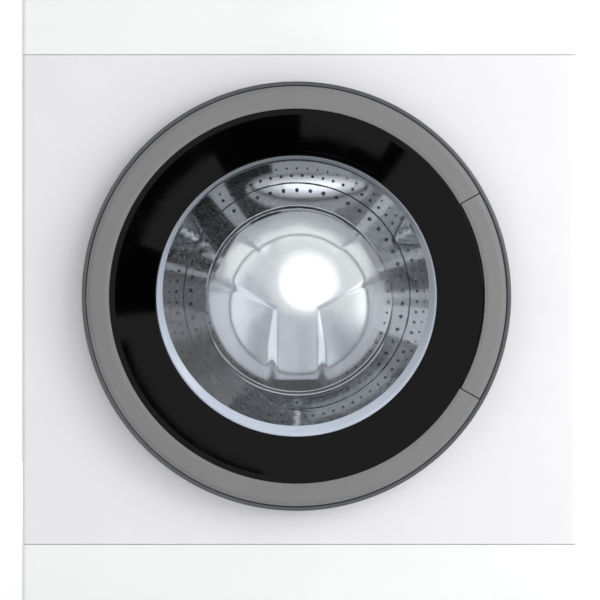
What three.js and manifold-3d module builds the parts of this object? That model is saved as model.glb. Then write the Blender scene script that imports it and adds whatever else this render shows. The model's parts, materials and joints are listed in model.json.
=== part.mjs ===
// Front load washing machine: a 598 mm wide cabinet with a porthole door, a hung tub and a drum.
// Millimetres. +X is to the right, +Y runs into the machine and +Z is up. The front panel's face
// is y = 0 and the floor is z = 0 until the root group moves everything onto its own origin.

import * as THREE from 'three';
import { mergeVertices } from 'three/addons/utils/BufferGeometryUtils.js';
import Module from 'manifold-3d';

const wasm = await Module();
wasm.setup();

// ---------------------------------------------------------------- facets of the round pieces

const wideSides = 32;                 // drum, tub and door rings
const pipeSides = 16;
const pinSides = 10;

// ---------------------------------------------------------------- driving dimensions

const gap = 0.3;                      // between pieces that touch
const sheet = 1.2;                    // steel sheet of the cabinet

const machineWidth = 598;
const cabinetDepth = 550;             // front panel's face to rear panel's face
const plinthLine = 159;               // seam between the plinth and the front panel
const panelHeight = 527.2;
const fasciaHeight = 139.8;
const worktopThickness = 22;
const panelReturn = 20;               // depth of the front panel's folded sides
const panelEdgeRadius = 6;
const panelFold = 15;                 // width of the side panels' folded flanges
const serviceRadius = 172;            // opening in the rear panel behind the pulley
const serviceLap = 14;
const serviceDish = 6;
const serviceDishEdge = 168;
const serviceDishSlope = 8;
const worktopCorner = 5;

const axisX = -3;                     // door and drum axis
const axisAbovePanelFoot = 267.4;

const doorRadius = 226.8;
const rimWall = 4.4;                  // side wall of the dark outer frame
const rimBack = -5;
const rimFront = -35;
const rimBevel = 1.5;
const trimInset = 5.1;                // of the trim ring inside the door's edge
const trimWidth = 23.3;
const trimFront = -38.5;
const trimBack = -27.3;
const trimBulge = 1.5;
const ledgeThickness = 3;
const coverWidth = 48.4;
const coverChamfer = 1.5;
const coverFront = -36.5;
const coverDip = 9;                   // the black ring falls this much towards the glass
const coverThickness = 3;
const innerPlateBack = -6;
const innerPlateThickness = 3;
const innerRibThickness = 2;
const innerPlateLand = 5;             // between the glass's flange and the plate's step

const glassInset = 0.5;               // of the glass's rim inside the cover ring
const glassLap = 8.3;                 // of its flange behind the cover ring
const glassNeckStep = 1.7;            // from its rim in to its neck
const glassFlangeBack = -18.2;
const glassFlangeThickness = 6;
const glassBeadHeight = 5;
const glassBeadWidth = 4;
const glassWall = 5;
const bowlEndRadius = 107;
const bowlEndDepth = 85;
const bowlDrop = 9.8;                 // the bowl's end sits this much below its rim
const bowlShift = 2.7;

const hingeInset = 12;                // door rim's overhang past the hinge pin
const hingeStandoff = 20;             // pin in front of the panel
const hingePinRadius = 3;
const hingeEyeRadius = 5.5;
const hingeEyeHalfHeight = 10;
const hingeLugLength = 12;
const hingeArmThickness = 6;
const hingePlateThickness = 2.5;
const hingePlateHeight = 70;
const hingePlateWidth = 36;
const hingeLugHalf = 6;
const hingePinHole = 100;
const hingeSlotReach = 8;             // of the door's slots past the pin

const handleHalfAngle = THREE.MathUtils.degToRad(29.5);
const handleGap = 1;
const handlePivotInset = 26.4;        // of the handle's pivot inside the trim ring
const handlePivotY = -29.5;
const handleArmClearance = 2;         // from each arm to the end of the recess
const handleArmWidth = 6;
const handlePinRadius = 1.5;
const handleArmFront = -31.5;
const handleGripThickness = 6;
const handleGripDepth = 7;
const handlePostWidth = 3;
const handleArmReach = 4;             // of each arm into the grip's segment
const recessHalfAngle = THREE.MathUtils.degToRad(27);

const latchPivotInset = 5.9;          // of the hook's pivot inside the trim ring
const latchPivotY = -17;
const latchBarrelRadius = 4;
const latchWidth = 20;
const latchTip = 18;
const latchNose = 5;
const latchThickness = 6;
const latchEar = 4;
const latchEarHalf = 6;
const latchSlotBefore = 8;            // opening in the front panel, either side of the pivot
const latchSlotAfter = 14;
const lockDepth = 30;
const lockHalfHeight = 26;
const lockMargin = 14;                // of the lock's body beyond the hook's slot
const lockWall = 3;
const lockSway = 2.5;                 // room for the hook's nose beside the slot

const portholeClearance = 1;          // from the porthole's flange to the lock
const portholeFlange = 14;

const drumRadius = 235;
const drumWall = 1.2;
const drumFront = 76;
const drumLipInset = 7;               // of the drum's mouth inside the porthole
const drumLipDepth = 12;
const drumLipRound = 4;
const drumCorner = 8;
const drumBackStep = 7;
const drumBackSheet = 1.5;
const drumBackSlope = 7;              // width of each step's sloping side
const drumBackRim = 8;
const backOuterStep = 156;            // radii of the two round steps in the drum's back
const backInnerStep = 128;
const starArmWidth = 80;
const starRadius = 116;
const starRise = 5;
const lifterTopRadius = 157;
const lifterBaseWidth = 74;
const lifterTopWidth = 34;
const lifterWall = 2;
const lifterChamfer = 4;
const lifterInset = 12;               // from the drum's front and back
const armTurns = [180, 60, -60];      // the drum's three arms and lifters, degrees from upright

const tubClearance = 27;              // between the drum and the tub's outside
const tubWall = 4;
const tubFront = 62;
const tubSplit = 250;
const tubBehindDrum = 46;             // from the drum's back edge to the tub's
const tubFlange = 6;
const tubFlangeWidth = 8;
const tubMouthInset = 15;             // of the tub's mouth inside the porthole
const tubMouthFront = 45;
const tubRibs = 6;
const tubRibThickness = 5;
const tubRibHeight = 12;
const tubCorner = 8;
const lugDepth = 14;                  // of the lugs, where they run into the tub's wall
const springLugWidth = 16;
const motorLugWidth = 32;
const motorLugHeight = 40;
const motorLugInset = 20;             // from the motor's front and back
const tubBoreReach = 20;              // of the spigots' bores through the tub's wall
const counterweightLeft = -84;        // from the drum's axis
const counterweightRight = 190;
const counterweightFront = 92;
const counterweightBack = 228;
const counterweightDepth = 70;        // how far it hangs round the tub
const counterweightRise = 88;         // and how far it stands over it
const bootLipInset = 18;              // of the boot's lip, neck and bulge inside the porthole
const bootNeckInset = 10;
const bootBulgeInset = 2;
const bootNeckFront = 5;
const bootNeckBack = 20;
const bootBulgeFront = 26;
const bootBulgeBack = 36;
const bootCuffFront = 40;
const bootWall = 4;
const bootFront = 3;

const shaftRadius = 15;
const shaftNeckRadius = 12;
const shaftPastPulley = 24;           // from the pulley's front face
const bearingRadius = 31;
const housingRadius = 45;
const housingLength = 40;
const pulleyToHousing = 12;
const spiderHubRadius = 34;
const spiderArmWidth = 46;
const spiderThickness = 17;
const spiderInset = 13;               // of the arms' ends from the drum's wall
const spiderPad = 24;                 // from the outer step to the arms' feet
const shaftSeat = 4;                  // web of the spider in front of the shaft

const drumPulleyRadius = 150;
const drumPulleyRim = 10;
const drumPulleyHubRadius = 26;
const pulleyHoleRadius = 27;
const pulleyHoles = 5;
const pulleyWeb = 4;
const motorPulleyRadius = 12;
const pulleyClearance = 38;           // from the pulley to the rear panel's face
const pulleyWidth = 14;
const beltThickness = 3;
const beltWidth = 11;
const beltClearance = 1;              // the belt's faceted inside stays off both pulleys

const motorTurn = THREE.MathUtils.degToRad(19.4);   // from straight under the drum's axis
const motorClearance = 15.6;
const motorRadius = 60;
const motorBeforePulley = 158;
const motorLength = 130;
const motorShoulder = 12;
const motorShaftRadius = 5;
const motorShaftPastPulley = 20;

const suspensionInset = 47;           // springs and dampers, from the tub's side
const springY = 320;
const springTop = 782;
const springBottom = 640;
const springRadius = 12;
const springWire = 2.2;
const springTurns = 7;
const bracketThickness = 6;
const damperY = 266;
const damperRadius = 14;
const damperWall = 2.5;
const damperLength = 120;
const damperRodRadius = 5;
const damperHead = 25;                // from the cylinder's top to the rod's
const damperPiston = 10;

const trayUnderside = 14;
const trayHeight = 46;
const trayWall = 3;
const footInset = 45;
const footRadius = 22;
const footHeight = 9;
const footStudRadius = 5;
const footStudTop = 44;
const footBossWall = 6;

const controlsZ = 788;
const fasciaWall = 3;
const drawerLeft = -287;
const drawerWidth = 182;
const drawerBottom = 752;
const drawerHeight = 70;
const drawerDepth = 260;
const drawerFace = 14;
const drawerWall = 2.5;
const drawerTrayInset = 4;
const drawerTrayLift = 6;
const fingerPullHeight = 16;
const knobRadius = 27;
const knobDepth = 22;
const knobX = -20;
const knobShaftRadius = 3;
const knobBevel = 3;
const knobPointerWidth = 2;
const knobPointerLength = 8;
const buttonRadius = 9;
const buttonProud = 3;
const buttonTravel = 1.5;
const buttonStemEnd = 12;
const buttonPlaces = [['power_button', -74], ['option_button', 204], ['start_button', 250]];
const windowLeft = 44;
const windowWidth = 130;
const windowHeight = 40;
const boardFront = 26;
const boardDepth = 26;
const boardLeft = -92;
const boardRight = 275;
const boardHeight = 52;
const displayEdge = 10;

const housingWall = 2.5;
const housingDrop = 22;               // dispenser housing below the drawer
const housingClearance = 1.5;         // between the drawer's tray and the housing's sides
const housingBeyond = 10;             // and behind it
const spoutX = -150;
const spoutY = 200;
const inletNeck = 9;                  // of the tub's inlet above the tub beside it
const spoutAboveInlet = 26;
const valveX = -150;
const valveZ = 790;
const valveDepth = 80;
const valveRadius = 14;
const valveProud = 14;
const valveNeck = 16;
const valveBore = 9;
const valveBodyWidth = 40;

const hoseRadius = 19;
const hoseWall = 3;
const hoseGrip = 6;
const pumpX = 110;
const pumpZ = 62;
const pumpSpigotY = 98;
const pumpSpigotTop = 124;
const sumpNeck = 6.4;                 // of the tub's outlet below its lowest point
const filterTubeRadius = 30;
const filterTubeWall = 3;
const voluteFront = 124;
const voluteDepth = 34;
const pumpMotorLength = 56;
const pumpMotorRadius = 25;
const pumpStandWidth = 48;
const drainX = 165;
const drainZ = 110;
const drainPipeRadius = 11;
const drainProud = 12;
const drainStraight = 90;             // of the outlet before the rear panel
const capFront = 12;
const capHandle = 8;
const capFlange = 4;                  // the cap's grip stands this far in front of its flange
const flapWidth = 116;
const flapBottom = 24;
const flapHeight = 74;
const flapThickness = 2.5;
const flapGap = 2;

const heaterRod = 3.5;
const heaterHalfWidth = 34;
const heaterEnd = 230;
const heaterFlange = 5;
const heaterFlangeMargin = 10;
const heaterFlangeHeight = 22;
const heaterTerminal = 16;

// ---------------------------------------------------------------- what follows from them

const halfWidth = machineWidth / 2;
const innerHalfWidth = halfWidth - sheet;
const axisZ = plinthLine + axisAbovePanelFoot;
const fasciaLine = plinthLine + panelHeight;
const worktopLine = fasciaLine + fasciaHeight;
const behindFlange = panelReturn + sheet + 3 * gap;   // first free depth behind the side panels' flanges
const trayFloor = trayUnderside + trayWall;
const spigotRadius = hoseRadius - hoseWall - gap;
const drumAxis = new THREE.Vector3(axisX, 0, axisZ);
const trimOuterRadius = doorRadius - trimInset;
const trimInnerRadius = trimOuterRadius - trimWidth;
const coverOuterRadius = trimInnerRadius - gap - glassInset;
const coverInnerRadius = coverOuterRadius - coverWidth;
const glassRimRadius = coverInnerRadius - glassInset;
const glassFlangeRadius = glassRimRadius + glassLap;
const glassNeckRadius = glassRimRadius - glassNeckStep;
const hingeX = hingeInset - doorRadius;               // from the door's axis
const handlePivotX = trimInnerRadius - handlePivotInset;
const handleArmZ = trimInnerRadius * Math.sin(recessHalfAngle) - handleArmWidth / 2 - handleArmClearance;
const latchPivotX = trimInnerRadius - latchPivotInset;
const rimInner = doorRadius - rimWall;
const innerPlateFront = innerPlateBack - innerPlateThickness;
const ribOuterRadius = coverOuterRadius + 3;
const tubRadius = drumRadius + tubClearance;
const tubInner = tubRadius - tubWall;
const pulleyFront = cabinetDepth - pulleyClearance - pulleyWidth;
const shaftEnd = pulleyFront + shaftPastPulley;
const housingBack = pulleyFront - pulleyToHousing;
const tubBack = housingBack - housingLength;
const drumBackDepth = tubBack - tubBehindDrum;
const backFace = drumBackDepth - drumBackSheet;
const spiderRadius = drumRadius - spiderInset;
const motorReach = tubRadius + motorRadius + motorClearance;
const motorX = -motorReach * Math.sin(motorTurn);     // from the drum's axis
const motorZ = -motorReach * Math.cos(motorTurn);
const motorFront = pulleyFront - motorBeforePulley;
const motorShaftEnd = pulleyFront + motorShaftPastPulley;
const suspensionX = tubRadius - suspensionInset;      // from the drum's axis
const tubSideDrop = Math.sqrt(tubRadius ** 2 - suspensionX ** 2);
const tubNearDrop = Math.sqrt((tubRadius + tubFlange) ** 2 - (suspensionX - damperRadius) ** 2);
const damperTop = axisZ - tubNearDrop - 4;
const damperRodTop = damperTop - damperHead;
const valveFront = cabinetDepth - valveDepth;
const inletSide = spoutX - axisX + hoseRadius;
const inletTop = axisZ + Math.sqrt(tubRadius ** 2 - inletSide ** 2) + inletNeck;
const spoutBottom = inletTop + spoutAboveInlet;
const sumpBottom = axisZ - tubRadius - sumpNeck;
const latchSlotLeft = latchPivotX - latchSlotBefore;
const latchSlotRight = latchPivotX + latchSlotAfter;
const portholeRadius = latchSlotLeft - lockSway - lockWall - portholeClearance;
const drumLipRadius = portholeRadius - drumLipInset;
const tubMouthRadius = portholeRadius - tubMouthInset;
const bootLipRadius = portholeRadius - bootLipInset;
const bootNeckRadius = portholeRadius - bootNeckInset;
const bootBulgeRadius = portholeRadius - bootBulgeInset;

const flatShare = Math.cos(Math.PI / wideSides);       // a faceted ring's flats against its corners

// ---------------------------------------------------------------- materials

const material = (color, roughness, metalness) =>
  new THREE.MeshStandardMaterial({ color, roughness, metalness });

const whitePaint = material(0xe9ebea, 0.35, 0);
const whitePlastic = material(0xf4f5f4, 0.4, 0);
const greyPlastic = material(0x868787, 0.35, 0.2);
const darkRim = material(0x4a4b50, 0.3, 0.6);
const blackGloss = material(0x0b0b0d, 0.08, 0);
const clearGlass = material(0xc9d2d8, 0.05, 0);
const drumSteel = material(0xa9afb6, 0.3, 0.9);
const zincSteel = material(0xb8bcc0, 0.45, 0.8);
const greyRubber = material(0x6d7073, 0.8, 0);
const blackRubber = material(0x1c1c1e, 0.85, 0);
const tubPlastic = material(0xcfd2d4, 0.6, 0);
const castAluminium = material(0x9fa3a7, 0.5, 0.8);
const concrete = material(0x9a9892, 0.95, 0);
const darkPlastic = material(0x2a2b2e, 0.5, 0);
const bluePlastic = material(0x2f6fb0, 0.45, 0);
const boardGreen = material(0x1f6a3c, 0.6, 0);

// ---------------------------------------------------------------- solids

function signedVolume(points, triangles) {
  const [a, b, c] = [new THREE.Vector3(), new THREE.Vector3(), new THREE.Vector3()];
  let volume = 0;
  for (let i = 0; i < triangles.length; i += 3) {
    a.fromArray(points, 3 * triangles[i]);
    b.fromArray(points, 3 * triangles[i + 1]);
    c.fromArray(points, 3 * triangles[i + 2]);
    volume += a.dot(b.cross(c));
  }
  return volume;
}

// A closed three.js geometry as a solid that can be joined and cut.
function solid(geometry) {
  const bare = geometry.clone();
  bare.deleteAttribute('normal');
  bare.deleteAttribute('uv');
  const merged = mergeVertices(bare, 1e-4);
  const index = merged.index.array;
  let triangles = [];
  for (let i = 0; i < index.length; i += 3) {
    const [a, b, c] = index.slice(i, i + 3);
    if (a !== b && b !== c && c !== a) triangles.push(a, b, c);
  }
  const vertProperties = new Float32Array(merged.attributes.position.array);
  if (signedVolume(vertProperties, triangles) < 0) triangles = triangles.reverse();
  return new wasm.Manifold(new wasm.Mesh({
    numProp: 3,
    vertProperties,
    triVerts: new Uint32Array(triangles),
  }));
}

function join(first, ...others) {
  return others.reduce((whole, other) => whole.add(other), first);
}

function cut(first, ...others) {
  return others.reduce((whole, other) => whole.subtract(other), first);
}

// A named mesh whose own origin stands at the given place.
function piece(name, body, look, place = new THREE.Vector3()) {
  const { vertProperties, triVerts } = body.getMesh();
  const geometry = new THREE.BufferGeometry();
  geometry.setAttribute('position', new THREE.BufferAttribute(vertProperties, 3));
  geometry.setIndex(new THREE.BufferAttribute(triVerts, 1));
  geometry.computeVertexNormals();
  const mesh = new THREE.Mesh(geometry, look);
  mesh.name = name;
  mesh.position.copy(place);
  return mesh;
}

function block(x0, x1, y0, y1, z0, z1) {
  const geometry = new THREE.BoxGeometry(x1 - x0, y1 - y0, z1 - z0);
  return solid(geometry.translate((x0 + x1) / 2, (y0 + y1) / 2, (z0 + z1) / 2));
}

function rodY(radius, y0, y1, x = 0, z = 0, sides = pipeSides) {
  const geometry = new THREE.CylinderGeometry(radius, radius, y1 - y0, sides);
  return solid(geometry.translate(x, (y0 + y1) / 2, z));
}

function wideRodY(radius, y0, y1, x = 0, z = 0) {
  return rodY(radius, y0, y1, x, z, wideSides);
}

function rodZ(radius, z0, z1, x = 0, y = 0, sides = pipeSides) {
  const geometry = new THREE.CylinderGeometry(radius, radius, z1 - z0, sides);
  return solid(geometry.rotateX(Math.PI / 2).translate(x, y, (z0 + z1) / 2));
}

// A ring about the Y axis from a closed outline of [radius, y] points.
function ringY(outline, sides = wideSides) {
  const points = [...outline, outline[0]].map(([radius, y]) => new THREE.Vector2(radius, y));
  return solid(new THREE.LatheGeometry(points, sides));
}

// A turned body about the Y axis, from an outline that starts and ends on the axis.
function turnedY(outline, sides = wideSides) {
  const points = outline.map(([radius, y]) => new THREE.Vector2(radius, y));
  return solid(new THREE.LatheGeometry(points, sides));
}

function tubeY(outer, inner, y0, y1, sides = wideSides) {
  return ringY([[outer, y0], [outer, y1], [inner, y1], [inner, y0]], sides);
}

function extruded(shape, depth, curveSegments = 3) {
  return new THREE.ExtrudeGeometry(shape, { depth, bevelEnabled: false, curveSegments });
}

const xAxis = new THREE.Vector3(1, 0, 0);
const yAxis = new THREE.Vector3(0, 1, 0);
const zAxis = new THREE.Vector3(0, 0, 1);

// An outline in X and Z, extruded along Y.
function plateXZ(shape, y0, y1, curveSegments) {
  const turn = new THREE.Matrix4().makeBasis(xAxis, zAxis, yAxis.clone().negate());
  return solid(extruded(shape, y1 - y0, curveSegments).applyMatrix4(turn).translate(0, y1, 0));
}

// An outline in X and Y, extruded along Z.
function plateXY(shape, z0, z1, curveSegments) {
  return solid(extruded(shape, z1 - z0, curveSegments).translate(0, 0, z0));
}

function polygon(points) {
  return new THREE.Shape(points.map(([u, v]) => new THREE.Vector2(u, v)));
}

function roundedRectangle(u0, v0, u1, v1, radius) {
  const shape = new THREE.Shape();
  shape.absarc(u1 - radius, v0 + radius, radius, -Math.PI / 2, 0);
  shape.absarc(u1 - radius, v1 - radius, radius, 0, Math.PI / 2);
  shape.absarc(u0 + radius, v1 - radius, radius, Math.PI / 2, Math.PI);
  shape.absarc(u0 + radius, v0 + radius, radius, Math.PI, 1.5 * Math.PI);
  return shape;
}

// The wedge between two directions at either side of +X, from the Y axis outwards.
function wedgeY(halfAngle, y0, y1) {
  const reach = 2 * doorRadius;
  const [u, v] = [reach * Math.cos(halfAngle), reach * Math.sin(halfAngle)];
  return plateXZ(polygon([[0, 0], [u, -v], [u, v]]), y0, y1);
}

// ---------------------------------------------------------------- cabinet

// A sheet bent round both front corners, seen from above, standing from z0 to z1.
function wrappedFront(z0, z1, wall) {
  const centre = halfWidth - panelEdgeRadius;
  const inner = panelEdgeRadius - wall;
  const shape = new THREE.Shape();
  shape.moveTo(-halfWidth, panelReturn);
  shape.absarc(-centre, panelEdgeRadius, panelEdgeRadius, Math.PI, 1.5 * Math.PI);
  shape.absarc(centre, panelEdgeRadius, panelEdgeRadius, 1.5 * Math.PI, 2 * Math.PI);
  shape.lineTo(halfWidth, panelReturn);
  shape.lineTo(halfWidth - wall, panelReturn);
  shape.absarc(centre, panelEdgeRadius, inner, 0, -Math.PI / 2, true);
  shape.absarc(-centre, panelEdgeRadius, inner, 1.5 * Math.PI, Math.PI, true);
  shape.lineTo(-halfWidth + wall, panelReturn);
  return plateXY(shape, z0, z1, 4);
}

// A stiffening fold across the back of such a sheet.
function crossFold(z0, wall) {
  return block(-halfWidth + wall / 2, halfWidth - wall / 2, wall / 2, panelReturn, z0, z0 + wall);
}

function makeFrontPanel() {
  const bottom = plinthLine + gap;
  const folds = [crossFold(bottom, sheet), crossFold(fasciaLine - sheet, sheet)];
  const flange = tubeY(portholeRadius + sheet / 2, portholeRadius - sheet, 0, portholeFlange);
  const hole = wideRodY(portholeRadius, -1, panelReturn, axisX, axisZ);
  const body = join(cut(join(wrappedFront(bottom, fasciaLine, sheet), ...folds), hole),
    flange.translate([axisX, 0, axisZ]));
  const armX = axisX + hingeX;
  const armSlot = hingeArmThickness / 2 + 1;
  const armSlotHeight = hingeEyeHalfHeight + 2 * gap;
  const hookSlotHeight = latchWidth / 2 + 2;
  return piece('front_panel', cut(
    body,
    block(armX - armSlot, armX + armSlot, -1, 2 * sheet, axisZ - armSlotHeight, axisZ + armSlotHeight),
    block(axisX + latchSlotLeft, axisX + latchSlotRight, -1, 2 * sheet,
      axisZ - hookSlotHeight, axisZ + hookSlotHeight),
  ), whitePaint);
}

function makeSidePanel(name, side) {
  const front = panelReturn + gap;
  const back = cabinetDepth - sheet - gap;
  const outline = polygon([
    [halfWidth, front],
    [halfWidth, back],
    [halfWidth - panelFold, back],
    [halfWidth - panelFold, back - sheet],
    [innerHalfWidth, back - sheet],
    [innerHalfWidth, front + sheet],
    [halfWidth - panelFold, front + sheet],
    [halfWidth - panelFold, front],
  ]);
  const bracket = block(
    suspensionX - springRadius, innerHalfWidth + sheet / 2,
    springY - 2 * springRadius, springY + 2 * springRadius,
    springTop + gap, springTop + gap + bracketThickness,
  );
  const body = join(plateXY(outline, trayUnderside, worktopLine), bracket);
  return piece(name, side < 0 ? body.mirror([1, 0, 0]) : body, whitePaint);
}

function makeRearPanel() {
  const edge = halfWidth - 2;
  const front = cabinetDepth - sheet;
  const shape = roundedRectangle(-edge, trayUnderside, edge, worktopLine, 3);
  return piece('rear_panel', cut(
    plateXZ(shape, front, cabinetDepth),
    wideRodY(serviceRadius, front - 1, cabinetDepth + 1, axisX, axisZ),
    rodY(valveRadius, front - 1, cabinetDepth + 1, valveX, valveZ),
    rodY(drainPipeRadius + 1, front - 1, cabinetDepth + 1, drainX, drainZ),
  ), zincSteel);
}

function makeServiceCover() {
  const front = cabinetDepth + gap;
  const rim = serviceRadius + serviceLap;
  const dish = front + serviceDish;
  return piece('rear_service_cover', turnedY([
    [0, dish],
    [serviceDishEdge - serviceDishSlope, dish],
    [serviceDishEdge, front],
    [rim, front],
    [rim, front + sheet],
    [serviceDishEdge + 1, front + sheet],
    [serviceDishEdge + 1 - serviceDishSlope, dish + sheet],
    [0, dish + sheet],
  ]), zincSteel, drumAxis);
}

function makeWorktop() {
  const shape = roundedRectangle(-halfWidth, 0, halfWidth, cabinetDepth, worktopCorner);
  const body = plateXY(shape, worktopLine + gap, worktopLine + worktopThickness);
  return piece('worktop', body, whitePlastic);
}

const footX = halfWidth - footInset;
const footPlaces = [
  ['foot_front_left', -footX, panelReturn + footInset],
  ['foot_front_right', footX, panelReturn + footInset],
  ['foot_rear_left', -footX, cabinetDepth - footInset],
  ['foot_rear_right', footX, cabinetDepth - footInset],
];

function makeBaseTray() {
  const edge = innerHalfWidth - gap;
  const back = cabinetDepth - 2 * sheet - 2 * gap;
  const top = trayUnderside + trayHeight;
  const notch = filterTubeRadius + 3;
  let body = cut(
    block(-edge, edge, behindFlange, back, trayUnderside, top),
    block(-edge + trayWall, edge - trayWall, behindFlange + trayWall, back - trayWall, trayFloor, top + 1),
    block(pumpX - notch, pumpX + notch, behindFlange - 1, behindFlange + trayWall + 1,
      pumpZ - notch, top + 1),
  );
  for (const [, x, y] of footPlaces) {
    body = join(body, rodZ(footStudRadius + footBossWall, trayFloor - 1, footStudTop - 2, x, y, pinSides));
    body = cut(body, rodZ(footStudRadius + gap, trayUnderside - 1, footStudTop + 1, x, y, pinSides));
  }
  return piece('base_tray', body, darkPlastic);
}

function makeFoot(name, x, y) {
  const body = join(
    rodZ(footRadius, 0, footHeight, 0, 0, pinSides),
    rodZ(2 * footStudRadius, footHeight - 1, trayUnderside - gap, 0, 0, 6),
    rodZ(footStudRadius, footHeight, footStudTop, 0, 0, pinSides),
  );
  return piece(name, body, blackRubber, new THREE.Vector3(x, y, 0));
}

function makePlinth() {
  const half = flapWidth / 2 + 2 * gap;
  const top = plinthLine - flapThickness;
  return piece('plinth_panel', cut(
    join(wrappedFront(trayUnderside, plinthLine, flapThickness), crossFold(top, flapThickness)),
    block(pumpX - half, pumpX + half, -1, panelReturn - 5,
      flapBottom - flapGap, flapBottom + flapHeight + 2 * gap),
  ), whitePlastic);
}

function makeFilterFlap() {
  const shape = roundedRectangle(-flapWidth / 2, 0, flapWidth / 2, flapHeight, 4);
  const place = new THREE.Vector3(pumpX, 0, flapBottom);
  return piece('filter_flap', plateXZ(shape, 0, flapThickness), whitePlastic, place);
}

// ---------------------------------------------------------------- controls

const drawerRight = drawerLeft + drawerWidth;

function makeFascia() {
  const bottom = fasciaLine + gap;
  const windowZ = controlsZ - windowHeight / 2;
  let body = join(
    wrappedFront(bottom, worktopLine, fasciaWall),
    crossFold(bottom, fasciaWall),
    crossFold(worktopLine - fasciaWall, fasciaWall),
  );
  body = cut(
    body,
    block(drawerLeft - gap, drawerRight + gap, -1, panelReturn + 1,
      drawerBottom - gap, drawerBottom + drawerHeight + gap),
    block(windowLeft, windowLeft + windowWidth, -1, panelReturn - 5, windowZ, windowZ + windowHeight),
    rodY(knobShaftRadius + gap, -1, panelReturn, knobX, controlsZ, pinSides),
    ...buttonPlaces.map(([, x]) => rodY(buttonRadius + gap, -1, panelReturn - 5, x, controlsZ)),
  );
  return piece('control_fascia', body, whitePlastic);
}

function makeDisplayWindow() {
  const shape = roundedRectangle(gap, gap, windowWidth - gap, windowHeight - gap, 2);
  const place = new THREE.Vector3(windowLeft, 0, controlsZ - windowHeight / 2);
  return piece('display_window', plateXZ(shape, gap, fasciaWall - gap), blackGloss, place);
}

function makeKnob() {
  const cap = turnedY([
    [0, -knobDepth],
    [knobRadius - 2 * knobBevel, -knobDepth],
    [knobRadius - knobBevel, -knobDepth + 2],
    [knobRadius - 1, -knobBevel - 1],
    [knobRadius, -knobBevel],
    [knobRadius, -gap],
    [0, -gap],
  ], 24);
  const pointerTop = knobRadius - 2 * knobBevel;
  const pointer = block(-knobPointerWidth / 2, knobPointerWidth / 2, -knobDepth - 1, -knobDepth + 1,
    pointerTop - knobPointerLength, pointerTop);
  const shaft = rodY(knobShaftRadius, -2, boardFront - gap, 0, 0, pinSides);
  const place = new THREE.Vector3(knobX, 0, controlsZ);
  return piece('program_knob', join(cut(cap, pointer), shaft), greyPlastic, place);
}

function makeButton(name, x) {
  const cap = turnedY([
    [0, -buttonProud],
    [buttonRadius - 1, -buttonProud],
    [buttonRadius, -buttonProud + 1],
    [buttonRadius, fasciaWall + 2],
    [0, fasciaWall + 2],
  ], pipeSides);
  const stem = rodY(buttonRadius / 3, fasciaWall, buttonStemEnd, 0, 0, pinSides);
  return piece(name, join(cap, stem), greyPlastic, new THREE.Vector3(x, 0, controlsZ));
}

function makeControlBoard() {
  const low = controlsZ - boardHeight / 2;
  const displayHalf = windowHeight / 2 - displayEdge / 2;
  const display = block(windowLeft + displayEdge, windowLeft + windowWidth - displayEdge,
    fasciaWall + gap, boardFront + 1, controlsZ - displayHalf, controlsZ + displayHalf);
  const switches = buttonPlaces.map(([, x]) =>
    rodY(buttonRadius / 2, buttonStemEnd + buttonTravel + gap, boardFront + 1, x, controlsZ, pinSides));
  const box = block(boardLeft, boardRight, boardFront, boardFront + boardDepth, low, low + boardHeight);
  return piece('control_board', join(box, display, ...switches), boardGreen);
}

// ---------------------------------------------------------------- detergent and water inlet

const drawerWells = [0.34, 0.3, 0.36];          // widths of the three wells, as shares of the tray

function makeDrawer() {
  const width = drawerWidth - 2 * gap;
  const height = drawerHeight - 2 * gap;
  const trayTop = height - drawerTrayLift;
  const trayWidth = width - 2 * drawerTrayInset;
  const back = drawerFace + drawerDepth;
  let body = join(
    plateXZ(roundedRectangle(0, 0, width, height, 3), 0, drawerFace),
    block(drawerTrayInset, drawerTrayInset + trayWidth, drawerFace - 1, back, drawerTrayLift, trayTop),
  );
  let wellLeft = drawerTrayInset + drawerWall;
  for (const share of drawerWells) {
    const wellWidth = share * (trayWidth - drawerWall) - drawerWall;
    body = cut(body, block(wellLeft, wellLeft + wellWidth, drawerFace + drawerWall, back - drawerWall,
      drawerTrayLift + drawerWall, trayTop + 1));
    wellLeft += wellWidth + drawerWall;
  }
  const fingerPull = block(width / 4, 0.75 * width, drawerWall, drawerFace - drawerWall,
    -1, fingerPullHeight);
  const place = new THREE.Vector3(drawerLeft + gap, 0, drawerBottom + gap);
  return piece('detergent_drawer', cut(body, fingerPull), whitePlastic, place);
}

function makeDispenserHousing() {
  const left = drawerLeft + gap + drawerTrayInset - housingClearance;
  const right = drawerRight - gap - drawerTrayInset + housingClearance;
  const back = drawerFace + drawerDepth + housingBeyond;
  const bottom = drawerBottom - housingDrop;
  const top = worktopLine - fasciaWall - gap;
  const outer = join(
    block(left - housingWall, right + housingWall, behindFlange, back + housingWall, bottom, top),
    rodZ(spigotRadius, spoutBottom, bottom + 1, spoutX, spoutY),
    block(valveX - valveRadius, valveX + valveRadius, back, valveFront - gap,
      valveZ - valveRadius, valveZ + valveRadius),
  );
  return piece('dispenser_housing', cut(
    outer,
    block(left, right, behindFlange - 1, back, bottom + housingWall, top - housingWall),
    rodZ(spigotRadius - hoseWall, spoutBottom - 1, bottom + housingWall + 1, spoutX, spoutY),
    rodY(valveBore, back - 1, valveFront, valveX, valveZ),
  ), tubPlastic);
}

function makeInletValve() {
  const inside = cabinetDepth - sheet - gap;
  const body = join(
    rodY(valveRadius, valveFront, valveFront + valveNeck),
    block(-valveBodyWidth / 2, valveBodyWidth / 2, valveFront + valveNeck - 1, inside,
      -0.4 * valveBodyWidth, 0.6 * valveBodyWidth),
    rodY(valveRadius - 1, inside - 1, cabinetDepth + valveProud),
  );
  const bore = rodY(valveBore, cabinetDepth, cabinetDepth + valveProud + 1, 0, 0, pinSides);
  return piece('inlet_valve', cut(body, bore), whitePlastic, new THREE.Vector3(valveX, 0, valveZ));
}

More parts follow.
